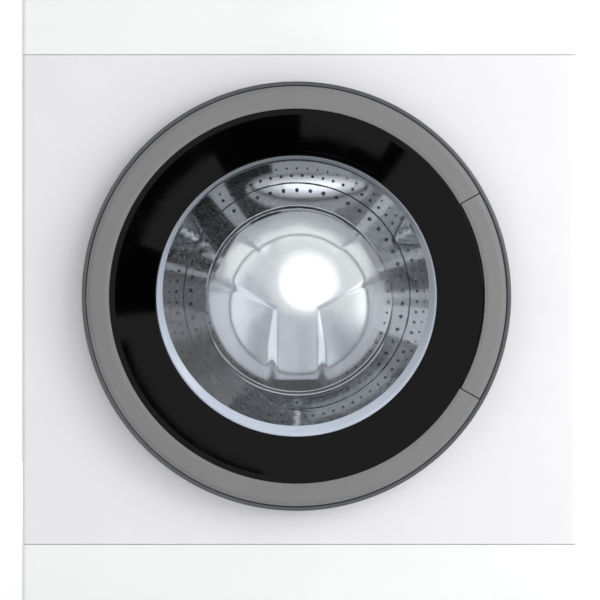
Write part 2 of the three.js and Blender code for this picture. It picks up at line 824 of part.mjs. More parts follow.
function makeHose(name, x, y, z0, z1) {
  const bore = rodZ(hoseRadius - hoseWall, z0 - 1, z1 + 1, x, y);
  return piece(name, cut(rodZ(hoseRadius, z0, z1, x, y), bore), blackRubber);
}

// ---------------------------------------------------------------- drain pump

function makeDrainPump() {
  const bore = filterTubeRadius - filterTubeWall;
  const volute = filterTubeRadius + 5;
  const standTop = -filterTubeRadius + filterTubeWall;
  const standBottom = trayFloor + gap - pumpZ;
  const housing = join(
    rodY(filterTubeRadius, behindFlange, voluteFront + 2),
    rodY(volute, voluteFront, voluteFront + voluteDepth),
    rodY(pumpMotorRadius, voluteFront + voluteDepth - 1, voluteFront + voluteDepth + pumpMotorLength),
    rodZ(spigotRadius, 0, pumpSpigotTop - pumpZ, 0, pumpSpigotY),
    block(-pumpStandWidth / 2, pumpStandWidth / 2, behindFlange + 2 * trayWall,
      voluteFront + voluteDepth - 6, standBottom, standTop),
  );
  const pipeEnd = new THREE.Vector3(drainX - pumpX, cabinetDepth + drainProud, drainZ - pumpZ);
  const route = new THREE.CatmullRomCurve3([
    new THREE.Vector3(volute - drainPipeRadius, voluteFront + voluteDepth / 2, 0),
    new THREE.Vector3(pipeEnd.x, voluteFront + 2 * voluteDepth, pipeEnd.z / 2),
    new THREE.Vector3(pipeEnd.x, cabinetDepth - drainStraight, pipeEnd.z),
    pipeEnd,
  ]);
  const section = new THREE.Shape().absarc(0, 0, drainPipeRadius, 0, 2 * Math.PI);
  const pipe = new THREE.ExtrudeGeometry(section, { steps: 10, extrudePath: route, curveSegments: 4 });
  return piece('drain_pump', cut(
    join(housing, solid(pipe)),
    rodY(bore, behindFlange - 1, voluteFront - 2),
    rodZ(spigotRadius - hoseWall, 0, pumpSpigotTop - pumpZ + 1, 0, pumpSpigotY),
    rodY(drainPipeRadius - 3, cabinetDepth, cabinetDepth + drainProud + 1, pipeEnd.x, pipeEnd.z, pinSides),
  ), darkPlastic, new THREE.Vector3(pumpX, 0, pumpZ));
}

function makeFilterCap() {
  const bore = filterTubeRadius - filterTubeWall;
  const plug = rodY(bore - 2 * gap, behindFlange - 1, pumpSpigotY - spigotRadius);
  const flange = rodY(filterTubeRadius, capFront + capFlange, behindFlange - gap);
  const gripHalf = filterTubeRadius - capFlange;
  const grip = block(-capHandle / 2, capHandle / 2, capFront, capFront + capFlange + 1, -gripHalf, gripHalf);
  const place = new THREE.Vector3(pumpX, 0, pumpZ);
  return piece('pump_filter_cap', join(flange, plug, grip), bluePlastic, place);
}

// ---------------------------------------------------------------- tub

// Half of the tub's depth between the drum and the tub's wall, where the heater lies.
const heaterDrop = (drumRadius + tubInner) / 2;

function makeTubFront() {
  const mouthOuter = tubMouthRadius + tubWall;
  const inside = tubFront + tubWall;
  const shell = ringY([
    [tubMouthRadius, tubMouthFront],
    [mouthOuter, tubMouthFront],
    [mouthOuter, tubFront],
    [tubRadius - tubCorner, tubFront],
    [tubRadius, tubFront + tubCorner],
    [tubRadius, tubSplit - tubFlangeWidth],
    [tubRadius + tubFlange, tubSplit - tubFlangeWidth],
    [tubRadius + tubFlange, tubSplit],
    [tubInner, tubSplit],
    [tubInner, inside + tubCorner],
    [tubInner - tubCorner, inside],
    [tubMouthRadius, inside],
  ]);
  const [sumpX, feedX] = [pumpX - axisX, spoutX - axisX];
  const sumpTop = -Math.sqrt(tubInner ** 2 - (sumpX + spigotRadius) ** 2);
  const feedBottom = Math.sqrt(tubInner ** 2 - (feedX - spigotRadius) ** 2);
  const pipes = [
    rodZ(spigotRadius, sumpBottom - axisZ, sumpTop, sumpX, pumpSpigotY),
    rodZ(spigotRadius, feedBottom, inletTop - axisZ, feedX, spoutY),
  ];
  const bores = [
    rodZ(spigotRadius - hoseWall, sumpBottom - axisZ - 1, sumpTop + tubBoreReach, sumpX, pumpSpigotY),
    rodZ(spigotRadius - hoseWall, feedBottom - tubBoreReach, inletTop - axisZ + 1, feedX, spoutY),
  ];
  const heaterHoles = [-1, 1].map((side) => rodY(heaterRod + 2 * gap, tubFront - 1, inside + tubCorner,
    side * heaterHalfWidth, -heaterDrop, pinSides));
  const cavity = wideRodY(tubInner - 1, inside, tubSplit + 1);
  const body = cut(join(shell, ...pipes.map((pipe) => cut(pipe, cavity))), ...bores, ...heaterHoles);
  return piece('tub_front', body, tubPlastic, drumAxis);
}

function makeTubRear() {
  const start = tubSplit + gap;
  const inside = tubBack - tubWall;
  const seat = bearingRadius + gap;
  const shell = ringY([
    [tubRadius + tubFlange, start],
    [tubRadius + tubFlange, start + tubFlangeWidth],
    [tubRadius, start + tubFlangeWidth],
    [tubRadius, tubBack - tubCorner],
    [tubRadius - tubCorner, tubBack],
    [seat, tubBack],
    [seat, inside],
    [tubInner - tubCorner, inside],
    [tubInner, inside - tubCorner],
    [tubInner, start],
  ]);
  const housing = tubeY(housingRadius, seat, inside, housingBack, pipeSides);
  const ribs = Array.from({ length: tubRibs }, (_, i) => {
    const rib = block(housingRadius - 2, tubInner - 2 * tubCorner, tubBack - 1, tubBack + tubRibHeight,
      -tubRibThickness / 2, tubRibThickness / 2);
    return rib.rotate([0, (360 / tubRibs) * (i + 0.5), 0]);
  });
  const lugs = [-1, 1].flatMap((side) => [
    block(side * suspensionX - springLugWidth / 2, side * suspensionX + springLugWidth / 2,
      springY - springRadius, springY + springRadius, tubSideDrop - lugDepth, springBottom - axisZ - gap),
    block(side * suspensionX - damperRadius, side * suspensionX + damperRadius,
      damperY - damperRadius, damperY + damperRadius, damperTop - axisZ, lugDepth - tubSideDrop),
  ]);
  const motorLug = cut(
    block(motorX - motorLugWidth / 2, motorX + motorLugWidth / 2,
      motorFront + motorLugInset, motorFront + motorLength - motorLugInset,
      motorZ + motorRadius - 4, motorZ + motorRadius - 4 + motorLugHeight),
    rodY(motorRadius + gap, motorFront, motorFront + motorLength, motorX, motorZ, pipeSides),
  );
  const cavity = wideRodY(tubInner + tubWall / 2, start - 1, inside);
  const outside = cut(join(motorLug, ...lugs), cavity);
  return piece('tub_rear', join(shell, housing, ...ribs, outside), tubPlastic, drumAxis);
}

function makeCounterweight() {
  const body = cut(
    block(counterweightLeft, counterweightRight, counterweightFront, counterweightBack,
      tubRadius - counterweightDepth, tubRadius + counterweightRise),
    wideRodY(tubRadius + gap, counterweightFront - 1, counterweightBack + 1),
  );
  return piece('counterweight', body, concrete, drumAxis);
}

function makeBoot() {
  const cuff = tubMouthRadius + tubWall + gap;
  const back = tubFront - gap;
  const fold = bootWall - 1;
  return piece('door_boot', ringY([
    [cuff + bootWall, back],
    [cuff + bootWall, bootCuffFront],
    [bootBulgeRadius, bootBulgeBack],
    [bootBulgeRadius, bootBulgeFront],
    [bootNeckRadius, bootNeckBack],
    [bootNeckRadius, bootNeckFront],
    [bootLipRadius, bootFront],
    [bootLipRadius, bootFront + bootWall],
    [bootNeckRadius - bootWall, bootNeckFront + bootWall],
    [bootNeckRadius - bootWall, bootNeckBack + fold],
    [bootBulgeRadius - bootWall, bootBulgeFront + fold],
    [bootBulgeRadius - bootWall, bootBulgeBack - fold],
    [cuff, bootCuffFront - fold],
    [cuff, back],
  ]), greyRubber, drumAxis);
}

function makeHeater() {
  const rods = [-1, 1].map((side) =>
    rodY(heaterRod, tubFront - heaterTerminal, heaterEnd, side * heaterHalfWidth, 0, pinSides));
  const flangeHalf = heaterHalfWidth + heaterFlangeMargin;
  const flange = block(-flangeHalf, flangeHalf, tubFront - gap - heaterFlange, tubFront - gap,
    -heaterFlangeHeight / 2, heaterFlangeHeight / 2);
  const span = 2 * (heaterHalfWidth + heaterRod);
  const turn = new THREE.CylinderGeometry(heaterRod, heaterRod, span, pinSides);
  const bend = solid(turn.rotateZ(Math.PI / 2).translate(0, heaterEnd, 0));
  const place = drumAxis.clone().sub(new THREE.Vector3(0, 0, heaterDrop));
  return piece('heater_element', join(flange, bend, ...rods), zincSteel, place);
}

// ---------------------------------------------------------------- suspension

class Helix extends THREE.Curve {
  constructor(radius, height, turns) {
    super();
    Object.assign(this, { radius, height, turns });
  }

  getPoint(t) {
    const angle = 2 * Math.PI * this.turns * t;
    return new THREE.Vector3(this.radius * Math.cos(angle), this.radius * Math.sin(angle), this.height * t);
  }
}

function makeSpring(name, side) {
  const height = springTop - springBottom - 2 * springWire;
  const coil = new Helix(springRadius - springWire, height, springTurns);
  const wire = new THREE.Shape().absarc(0, 0, springWire, 0, 2 * Math.PI);
  const steps = springTurns * 8;
  const geometry = new THREE.ExtrudeGeometry(wire, { steps, extrudePath: coil, curveSegments: 2 });
  const place = new THREE.Vector3(axisX + side * suspensionX, springY, springBottom + springWire);
  return piece(name, solid(geometry), zincSteel, place);
}

function makeDamperCylinder(name, side) {
  const top = damperTop - gap;
  const body = cut(
    rodZ(damperRadius, top - damperLength, top),
    rodZ(damperRadius - damperWall, top - damperLength - 1, top - 2 * damperWall),
  );
  return piece(name, body, darkPlastic, new THREE.Vector3(axisX + side * suspensionX, damperY, 0));
}

function makeDamperRod(name, side) {
  const body = join(
    rodZ(damperRodRadius, trayFloor + gap, damperRodTop, 0, 0, pinSides),
    rodZ(damperRadius - damperWall - gap, damperRodTop - damperPiston, damperRodTop),
    rodZ(damperRadius, trayFloor + gap, trayFloor + damperPiston, 0, 0, pinSides),
  );
  return piece(name, body, zincSteel, new THREE.Vector3(axisX + side * suspensionX, damperY, 0));
}

// ---------------------------------------------------------------- drum

function makeDrumShell() {
  const inside = drumFront + drumWall;
  const lipEnd = drumFront + drumLipDepth;
  return piece('drum_shell', ringY([
    [drumRadius, drumBackDepth],
    [drumRadius, drumFront + drumCorner],
    [drumRadius - drumCorner, drumFront],
    [drumLipRadius + drumLipRound + 3, drumFront],
    [drumLipRadius, drumFront + drumLipRound],
    [drumLipRadius, lipEnd],
    [drumLipRadius + drumWall, lipEnd],
    [drumLipRadius + drumWall, drumFront + drumLipRound + 1],
    [drumLipRadius + drumLipRound + 4, inside],
    [drumRadius - drumCorner - 1, inside],
    [drumRadius - drumWall, drumFront + drumCorner + 1],
    [drumRadius - drumWall, drumBackDepth],
  ]), drumSteel, drumAxis);
}

function makeDrumBack() {
  const edge = drumRadius - drumWall - gap;
  const middle = backFace + drumBackStep;
  const centre = middle + drumBackStep;
  const dish = turnedY([
    [0, centre],
    [backInnerStep - drumBackSlope, centre],
    [backInnerStep, middle],
    [backOuterStep - drumBackSlope, middle],
    [backOuterStep, backFace],
    [edge - drumBackSheet, backFace],
    [edge - drumBackSheet, backFace - drumBackRim],
    [edge, backFace - drumBackRim],
    [edge, drumBackDepth],
    [backOuterStep + 1, drumBackDepth],
    [backOuterStep + 1 - drumBackSlope, middle + drumBackSheet],
    [backInnerStep + 1, middle + drumBackSheet],
    [backInnerStep + 1 - drumBackSlope, centre + drumBackSheet],
    [0, centre + drumBackSheet],
  ]);
  const arms = armTurns.map((turn) => block(-starArmWidth / 2, starArmWidth / 2,
    centre - starRise, centre + drumBackSheet / 2, 0, starRadius).rotate([0, turn, 0]));
  return piece('drum_back', join(dish, ...arms), drumSteel, drumAxis);
}

function makeLifter(name, turn) {
  const reach = (drumRadius - drumWall) * flatShare - gap;
  const base = Math.sqrt(reach ** 2 - (lifterBaseWidth / 2) ** 2) - gap;
  const outline = (inset, foot) => {
    const [wide, narrow] = [lifterBaseWidth / 2 - inset, lifterTopWidth / 2 - inset];
    const top = lifterTopRadius + inset;
    return polygon([
      [-wide, foot],
      [-narrow, top + lifterChamfer],
      [lifterChamfer - narrow, top],
      [narrow - lifterChamfer, top],
      [narrow, top + lifterChamfer],
      [wide, foot],
    ]);
  };
  const [front, back] = [drumFront + lifterInset, backFace - lifterInset];
  const body = cut(
    plateXZ(outline(0, base), front, back),
    plateXZ(outline(lifterWall, base + 1), front + lifterWall, back - lifterWall),
  );
  const mesh = piece(name, body, drumSteel, drumAxis);
  mesh.rotation.y = THREE.MathUtils.degToRad(turn);
  return mesh;
}

function makeSpider() {
  const front = drumBackDepth + 2 * drumBackStep + gap;
  const back = front + spiderThickness;
  const padInner = backOuterStep + spiderPad;
  const half = spiderArmWidth / 2;
  const arms = armTurns.map((turn) => join(
    block(-half, half, front, back, 0, spiderRadius),
    block(-half, half, drumBackDepth + gap, back, padInner, spiderRadius),
  ).rotate([0, turn, 0]));
  const body = cut(
    join(rodY(spiderHubRadius, front, back), ...arms),
    rodY(shaftRadius + gap, front + shaftSeat, back + 1),
  );
  return piece('drum_spider', body, castAluminium, drumAxis);
}

function makeShaft() {
  const front = drumBackDepth + 2 * drumBackStep + 2 * gap + shaftSeat;
  const neck = housingBack + 2;
  const body = join(
    rodY(shaftRadius, front, neck),
    rodY(shaftNeckRadius, neck - 1, shaftEnd),
  );
  return piece('drum_shaft', body, zincSteel, drumAxis);
}

function makeBearing() {
  const body = tubeY(bearingRadius, shaftRadius + gap, tubBack - tubWall + 1, housingBack - 4, pipeSides);
  return piece('bearing_cartridge', body, zincSteel, drumAxis);
}

// ---------------------------------------------------------------- drive

function makeDrumPulley() {
  const back = pulleyFront + pulleyWidth;
  const web = pulleyFront + pulleyWidth / 2;
  const holes = Array.from({ length: pulleyHoles }, (_, i) => {
    const angle = (2 * Math.PI * i) / pulleyHoles;
    const reach = (drumPulleyHubRadius + drumPulleyRadius - drumPulleyRim) / 2;
    const [x, z] = [reach * Math.sin(angle), reach * Math.cos(angle)];
    return rodY(pulleyHoleRadius, web - pulleyWeb, web + pulleyWeb, x, z, pinSides);
  });
  const body = join(
    tubeY(drumPulleyRadius, drumPulleyRadius - drumPulleyRim, pulleyFront, back),
    cut(wideRodY(drumPulleyRadius - drumPulleyRim / 2, web - pulleyWeb / 2, web + pulleyWeb / 2), ...holes),
    rodY(drumPulleyHubRadius, housingBack + 4, back),
  );
  const bore = rodY(shaftNeckRadius + gap, housingBack, back + 1);
  return piece('drum_pulley', cut(body, bore), castAluminium, drumAxis);
}

// The outline of a belt round the drum pulley and the motor pulley, at a distance from both.
function beltOutline(offset, Outline) {
  const [big, small] = [drumPulleyRadius + offset, motorPulleyRadius + offset];
  const reach = Math.hypot(motorX, motorZ);
  const towards = Math.atan2(motorZ, motorX);
  const spread = Math.acos((big - small) / reach);
  const outline = new Outline();
  outline.absarc(0, 0, big, towards + spread, towards - spread + 2 * Math.PI);
  outline.absarc(motorX, motorZ, small, towards - spread, towards + spread);
  return outline;
}

function makeBelt() {
  const start = pulleyFront + (pulleyWidth - beltWidth) / 2;
  const shape = beltOutline(beltClearance + beltThickness, THREE.Shape);
  shape.holes.push(beltOutline(beltClearance, THREE.Path));
  return piece('drive_belt', plateXZ(shape, start, start + beltWidth, 14), blackRubber, drumAxis);
}

const motorPlace = drumAxis.clone().add(new THREE.Vector3(motorX, 0, motorZ));

function makeMotor() {
  const back = motorFront + motorLength;
  const body = join(
    rodY(motorRadius, motorFront + motorShoulder, back - motorShoulder),
    rodY(motorRadius - motorShoulder, motorFront, back),
    rodY(motorShaftRadius, back - 1, motorShaftEnd, 0, 0, pinSides),
  );
  return piece('motor', body, castAluminium, motorPlace);
}

function makeMotorPulley() {
  const outline = tubeY(motorPulleyRadius, motorShaftRadius + gap,
    pulleyFront - 2, pulleyFront + pulleyWidth + 2, pipeSides);
  return piece('motor_pulley', outline, castAluminium, motorPlace);
}

// ---------------------------------------------------------------- door

function trimOutline(inner, outer) {
  return [
    [inner, trimBack],
    [inner, trimFront + trimBulge],
    [inner + trimBulge, trimFront],
    [outer - 5, trimFront + trimBulge / 2],
    [outer, trimFront + 2 * trimBulge],
    [outer, trimBack],
  ];
}

function makeOuterFrame() {
  const ledge = trimBack + gap;
  let body = ringY([
    [doorRadius, rimBack],
    [doorRadius, rimFront + rimBevel],
    [doorRadius - rimBevel, rimFront],
    [rimInner, rimFront],
    [rimInner, ledge],
    [ribOuterRadius + gap, ledge],
    [ribOuterRadius + gap, ledge + ledgeThickness],
    [rimInner, ledge + ledgeThickness],
    [rimInner, rimBack],
  ]);
  const recess = cut(
    wedgeY(recessHalfAngle, ledge - gap, innerPlateBack),
    wideRodY(ribOuterRadius - gap, ledge - 1, innerPlateBack + 1),
  );
  const slot = hingeEyeHalfHeight + 2 * gap;
  const lugRoom = hingeEyeHalfHeight + hingeLugLength + 2;
  body = cut(
    body,
    recess,
    block(-doorRadius - 1, hingeX + hingeSlotReach, rimFront + 4, rimBack + 1, -slot, slot),
    block(-rimInner, -ribOuterRadius + 1, ledge - 1, ledge + ledgeThickness + 1, -lugRoom, lugRoom),
  );
  return piece('door_outer_frame', body, darkRim, drumAxis);
}

function makeTrimRing() {
  const wedge = wedgeY(handleHalfAngle, trimFront - 5, trimBack + 5);
  const body = cut(ringY(trimOutline(trimInnerRadius, trimOuterRadius)), wedge);
  return piece('door_trim_ring', body, greyPlastic, drumAxis);
}

function makeHandle() {
  const inner = trimInnerRadius + handleGap;
  const outer = trimOuterRadius - gap;
  const halfAngle = handleHalfAngle - handleGap / trimInnerRadius;
  const gripAngle = recessHalfAngle - handleGap / trimInnerRadius;
  const gripBack = trimBack + handleGripDepth;
  const segment = ringY(trimOutline(inner, outer)).intersect(wedgeY(halfAngle, trimFront - 1, trimBack + 1));
  const grip = tubeY(outer, outer - handleGripThickness, trimBack - 1, gripBack).intersect(
    wedgeY(gripAngle, trimBack - 2, gripBack + 1));
  const half = handleArmWidth / 2;
  const pinHalf = 2 * half + 1;
  const reach = Math.sqrt(inner ** 2 - handleArmZ ** 2) + handleArmReach;
  const arms = [-1, 1].map((side) => join(
    block(handlePivotX - half, reach, handleArmFront, trimBack - gap,
      side * handleArmZ - half, side * handleArmZ + half),
    rodZ(handlePinRadius, side * handleArmZ - pinHalf, side * handleArmZ + pinHalf,
      handlePivotX, handlePivotY, pinSides),
  ));
  return piece('door_handle', join(segment, grip, ...arms), greyPlastic, drumAxis);
}

function makeCoverRing() {
  const inside = coverFront + coverDip;
  const body = ringY([
    [coverOuterRadius, coverFront + coverThickness],
    [coverOuterRadius, coverFront + 1],
    [coverOuterRadius - coverChamfer, coverFront],
    [coverInnerRadius + coverChamfer, inside],
    [coverInnerRadius, inside + 1],
    [coverInnerRadius, inside + coverThickness],
    [coverOuterRadius - 3, coverFront + coverThickness],
  ]);
  return piece('door_cover_ring', body, blackGloss, drumAxis);
}

// The bowl leans: everything behind the flange drifts down and sideways with depth.
function leanBowl(x, y, z) {
  const depth = Math.max(0, y - glassFlangeBack) / (bowlEndDepth - glassFlangeBack);
  return [x + bowlShift * depth, y, z - bowlDrop * depth];
}

function makeGlass() {
  const front = glassFlangeBack - glassFlangeThickness;
  const points = [
    [0, bowlEndDepth - glassWall],
    [bowlEndRadius - glassWall - 4, bowlEndDepth - glassWall],
    [bowlEndRadius - glassWall, bowlEndDepth - glassWall - 4],
    [glassNeckRadius - glassWall, front],
    [glassRimRadius - glassBeadWidth, front - glassBeadHeight],
    [glassRimRadius - 1, front - glassBeadHeight + 1],
    [glassRimRadius, front],
    [glassFlangeRadius, front],
    [glassFlangeRadius, glassFlangeBack],
    [glassNeckRadius, glassFlangeBack],
    [bowlEndRadius, bowlEndDepth - 4],
    [bowlEndRadius - 4, bowlEndDepth],
    [0, bowlEndDepth],
  ];
  const geometry = new THREE.LatheGeometry(points.map(([r, y]) => new THREE.Vector2(r, y)), wideSides);
  const position = geometry.attributes.position;
  for (let i = 0; i < position.count; i += 1) {
    position.setXYZ(i, ...leanBowl(position.getX(i), position.getY(i), position.getZ(i)));
  }
  return piece('door_glass', solid(geometry), clearGlass, drumAxis);
}

function makeInnerFrame() {
  const seat = glassFlangeBack + gap;
  const ribTop = trimBack + 2 * gap;
  const body = ringY([
    [glassNeckRadius + 1, innerPlateBack],
    [rimInner - gap, innerPlateBack],
    [rimInner - gap, innerPlateFront],
    [ribOuterRadius, innerPlateFront],
    [ribOuterRadius, ribTop],
    [ribOuterRadius - innerRibThickness, ribTop],
    [ribOuterRadius - innerRibThickness, innerPlateFront],
    [glassFlangeRadius + innerPlateLand, innerPlateFront],
    [glassFlangeRadius + innerPlateLand, seat],
    [glassNeckRadius + 1, seat],
  ]);
  const pinHole = rodZ(hingePinRadius + gap, -hingePinHole, hingePinHole, hingeX, -hingeStandoff, pinSides);
  const lugs = [-1, 1].map((side) => {
    const near = side * (hingeEyeHalfHeight + gap);
    const far = side * (hingeEyeHalfHeight + gap + hingeLugLength);
    return block(gap - rimInner * flatShare ** 2, hingeX + hingeLugHalf,
      -hingeStandoff - hingeLugHalf, innerPlateBack - 1,
      Math.min(near, far), Math.max(near, far));
  });
  const ears = [-1, 1].map((side) => {
    const near = side * (latchWidth / 2 + gap);
    const far = side * (latchWidth / 2 + gap + latchEar);
    return block(latchPivotX - latchEarHalf, latchPivotX + latchEarHalf,
      latchPivotY - latchEarHalf, innerPlateBack - 1,
      Math.min(near, far), Math.max(near, far));
  });
  const posts = [-1, 1].flatMap((side) => [-1, 1].map((end) => {
    const half = handlePostWidth / 2;
    const centre = side * handleArmZ + end * (handleArmWidth / 2 + gap + half);
    return block(handlePivotX - handlePostWidth, handlePivotX + handlePostWidth,
      handleArmFront - gap, innerPlateBack - 1, centre - half, centre + half);
  }));
  const trunnionHole = rodZ(latchBarrelRadius - 1, -latchWidth, latchWidth,
    latchPivotX, latchPivotY, pinSides);
  const slot = hingeEyeHalfHeight + 2 * gap;
  const hookSlot = latchWidth / 2 + gap;
  return piece('door_inner_frame', cut(
    join(body, ...lugs, ...ears, ...posts),
    pinHole,
    trunnionHole,
    rodZ(handlePinRadius + gap, -2 * handleArmZ, 2 * handleArmZ, handlePivotX, handlePivotY, pinSides),
    block(-doorRadius, hingeX + hingeSlotReach, innerPlateFront - 1, innerPlateBack + 1, -slot, slot),
    block(latchPivotX - latchEarHalf - 1, latchPivotX + latchSlotBefore,
      innerPlateFront - 1, innerPlateBack + 1, -hookSlot, hookSlot),
  ), darkPlastic, drumAxis);
}

function makeHingePin() {
  const half = hingeEyeHalfHeight + hingeLugLength + 1;
  const body = rodZ(hingePinRadius, -half, half, hingeX, -hingeStandoff, pinSides);
  return piece('hinge_pin', body, zincSteel, drumAxis);
}

function makeHinge() {
  const half = hingeEyeHalfHeight;
  const back = sheet + gap + hingePlateThickness;
  const body = join(
    rodZ(hingeEyeRadius, -half, half, hingeX, -hingeStandoff, pipeSides),
    block(hingeX - hingeArmThickness / 2, hingeX + hingeArmThickness / 2, -hingeStandoff, back,
      -half, half),
    block(hingeX - hingePlateWidth / 2, hingeX + hingePlateWidth / 2, sheet + gap, back,
      -hingePlateHeight / 2, hingePlateHeight / 2),
  );
  const hole = rodZ(hingePinRadius + gap, -half - 1, half + 1, hingeX, -hingeStandoff, pinSides);
  return piece('door_hinge', cut(body, hole), zincSteel, drumAxis);
}

function makeLatchHook() {
  const half = latchWidth / 2;
  const side = latchThickness / 2;
  const hook = polygon([
    [latchPivotX - side, latchPivotY],
    [latchPivotX + side, latchPivotY],
    [latchPivotX + side, latchTip - 8],
    [latchPivotX + side + latchNose, latchTip - 5],
    [latchPivotX + side, latchTip],
    [latchPivotX - side, latchTip],
  ]);
  const trunnion = half + latchEar - gap;
  const body = join(
    plateXY(hook, -half, half),
    rodZ(latchBarrelRadius, -half, half, latchPivotX, latchPivotY, pinSides),
    rodZ(latchBarrelRadius - 1 - gap, -trunnion, trunnion, latchPivotX, latchPivotY, pinSides),
  );
  return piece('latch_hook', body, zincSteel, drumAxis);
}

function makeLock() {
  const front = sheet + gap;
  const mouth = latchWidth / 2 + lockWall;
  const left = latchSlotLeft - lockSway;
  const body = cut(
    block(left - lockWall, latchSlotRight + lockMargin, front, front + lockDepth,
      -lockHalfHeight, lockHalfHeight),
    block(left, latchSlotRight, front - 1, front + lockDepth - lockWall, -mouth, mouth),
  );
  return piece('door_lock', body, darkPlastic, drumAxis);
}

// ---------------------------------------------------------------- assembly

const cabinet = new THREE.Group();
cabinet.add(
  makeFrontPanel(),
  makeSidePanel('side_panel_left', -1),
  makeSidePanel('side_panel_right', 1),
  makeRearPanel(),
  makeServiceCover(),
  makeWorktop(),
  makeBaseTray(),
  makePlinth(),
  makeFilterFlap(),
  makeDrainPump(),
  makeFilterCap(),
  makeHinge(),
  makeLock(),
  ...footPlaces.map(([name, x, y]) => makeFoot(name, x, y)),
);

const controls = new THREE.Group();
controls.add(
  makeFascia(),
  makeDisplayWindow(),
  makeKnob(),
  makeControlBoard(),
  ...buttonPlaces.map(([name, x]) => makeButton(name, x)),
  makeDrawer(),
  makeDispenserHousing(),
  makeInletValve(),
  makeHose('dispenser_hose', spoutX, spoutY, inletTop - hoseGrip, spoutBottom + hoseGrip),
);

const tub = new THREE.Group();
tub.add(
  makeTubFront(),
  makeTubRear(),
  makeCounterweight(),
  makeBoot(),
  makeHeater(),
  makeBearing(),
  makeMotor(),
  makeMotorPulley(),
  makeBelt(),
  makeHose('sump_hose', pumpX, pumpSpigotY, pumpSpigotTop - hoseGrip, sumpBottom + hoseGrip),
  makeSpring('suspension_spring_left', -1),
  makeSpring('suspension_spring_right', 1),
  makeDamperCylinder('damper_cylinder_left', -1),
  makeDamperCylinder('damper_cylinder_right', 1),
  makeDamperRod('damper_rod_left', -1),
  makeDamperRod('damper_rod_right', 1),
);

const drum = new THREE.Group();
drum.add(
  makeDrumShell(),
  makeDrumBack(),
  ...armTurns.map((turn, i) => makeLifter(`lifter_${i + 1}`, turn)),
  makeSpider(),
  makeShaft(),
  makeDrumPulley(),
);

const door = new THREE.Group();
door.add(
  makeOuterFrame(),
  makeTrimRing(),
  makeHandle(),
  makeCoverRing(),
  makeGlass(),
  makeInnerFrame(),
  makeHingePin(),
  makeLatchHook(),
);

const machine = new THREE.Group();
machine.add(cabinet, controls, tub, drum, door);

// The origin is the middle of the machine's footprint, on the floor.
const extent = new THREE.Box3().setFromObject(machine);
const middle = extent.getCenter(new THREE.Vector3());
machine.position.set(-middle.x, -middle.y, -extent.min.z);

export default machine;
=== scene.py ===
"""Looks of a front load washing machine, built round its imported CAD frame.

The scene is in metres with Z up. Lengths in this script are in millimetres, and MM turns them into
metres where Blender takes them. Turns are in degrees.
"""
import json
from math import atan2, cos, hypot, pi, radians, sin, tan

import bmesh
import bpy
from mathutils import Matrix, Vector


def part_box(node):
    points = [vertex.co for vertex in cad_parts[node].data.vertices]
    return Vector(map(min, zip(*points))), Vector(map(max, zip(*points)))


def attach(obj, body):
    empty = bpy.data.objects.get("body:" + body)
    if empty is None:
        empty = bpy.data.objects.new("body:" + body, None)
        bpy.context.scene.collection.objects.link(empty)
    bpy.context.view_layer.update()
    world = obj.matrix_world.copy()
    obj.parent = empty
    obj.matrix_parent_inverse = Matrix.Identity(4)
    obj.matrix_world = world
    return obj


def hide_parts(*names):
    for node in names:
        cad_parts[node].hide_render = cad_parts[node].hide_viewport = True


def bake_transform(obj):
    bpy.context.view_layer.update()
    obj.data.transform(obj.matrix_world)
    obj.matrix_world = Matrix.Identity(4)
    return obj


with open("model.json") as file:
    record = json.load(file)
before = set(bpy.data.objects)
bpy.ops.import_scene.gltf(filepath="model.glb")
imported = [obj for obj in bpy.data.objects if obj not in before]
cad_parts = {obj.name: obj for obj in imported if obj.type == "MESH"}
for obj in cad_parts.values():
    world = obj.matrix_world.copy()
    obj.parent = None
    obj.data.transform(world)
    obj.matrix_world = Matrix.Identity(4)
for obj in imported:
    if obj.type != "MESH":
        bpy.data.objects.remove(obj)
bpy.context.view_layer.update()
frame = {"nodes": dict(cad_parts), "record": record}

MM = 0.001
NODES = frame["nodes"]
BODY_OF = {name: body for body, names in frame["record"]["behaviour"]["bodies"].items()
           for name in names}
SLOT_OF = {row["node"]: row["material_slot"] for row in frame["record"]["subparts"]}

# -------- places taken from the frame


def box(name):
    """The two corners of a CAD node's box."""
    low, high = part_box(name)
    return low / MM, high / MM


def middle(name):
    """The middle of a CAD node's box."""
    low, high = box(name)
    return (low + high) / 2


def radii(name):
    """Smallest and largest distance of a CAD node's corners from the door's axis."""
    found = [hypot(v.co.x / MM - AXIS.x, v.co.z / MM - AXIS.z)
             for v in NODES[name].data.vertices]
    return min(found), max(found)


def depths(name):
    """Nearest and furthest depth of a CAD node behind the front panel's face."""
    low, high = box(name)
    return low.y - FACE, high.y - FACE


PANEL_LOW, PANEL_HIGH = box("front_panel")
FACE = PANEL_LOW.y  # the front panel's face
DOOR = middle("door_outer_frame")
AXIS = Vector((DOOR.x, FACE, DOOR.z))  # where the door's and drum's axis meets the face
PIN = middle("hinge_pin")
HOOK_LOW, HOOK_HIGH = box("latch_hook")

# -------- materials

NOISE_LOW, NOISE_HIGH = 0.3, 0.7  # where most of a noise texture's values lie
LOOKS = {}  # materials by name, and by the slot that they fill


def linear(code):
    """A hexadecimal colour as linear red, green, blue."""
    parts = [int(code[i:i + 2], 16) / 255 for i in (0, 2, 4)]
    return [c / 12.92 if c <= 0.04045 else ((c + 0.055) / 1.055) ** 2.4 for c in parts]


def feed(tree, socket, value):
    """Links a socket to another one, or sets it to a value."""
    if isinstance(value, bpy.types.NodeSocket):
        tree.links.new(value, socket)
    else:
        socket.default_value = value


def add(tree, kind, inputs=(), output=0, **settings):
    """An output of a new shader node that has these settings and inputs."""
    made = tree.nodes.new("ShaderNode" + kind)
    for key, value in settings.items():
        setattr(made, key, value)
    for key, value in dict(inputs).items():
        feed(tree, made.inputs[key], value)
    return made.outputs[output]


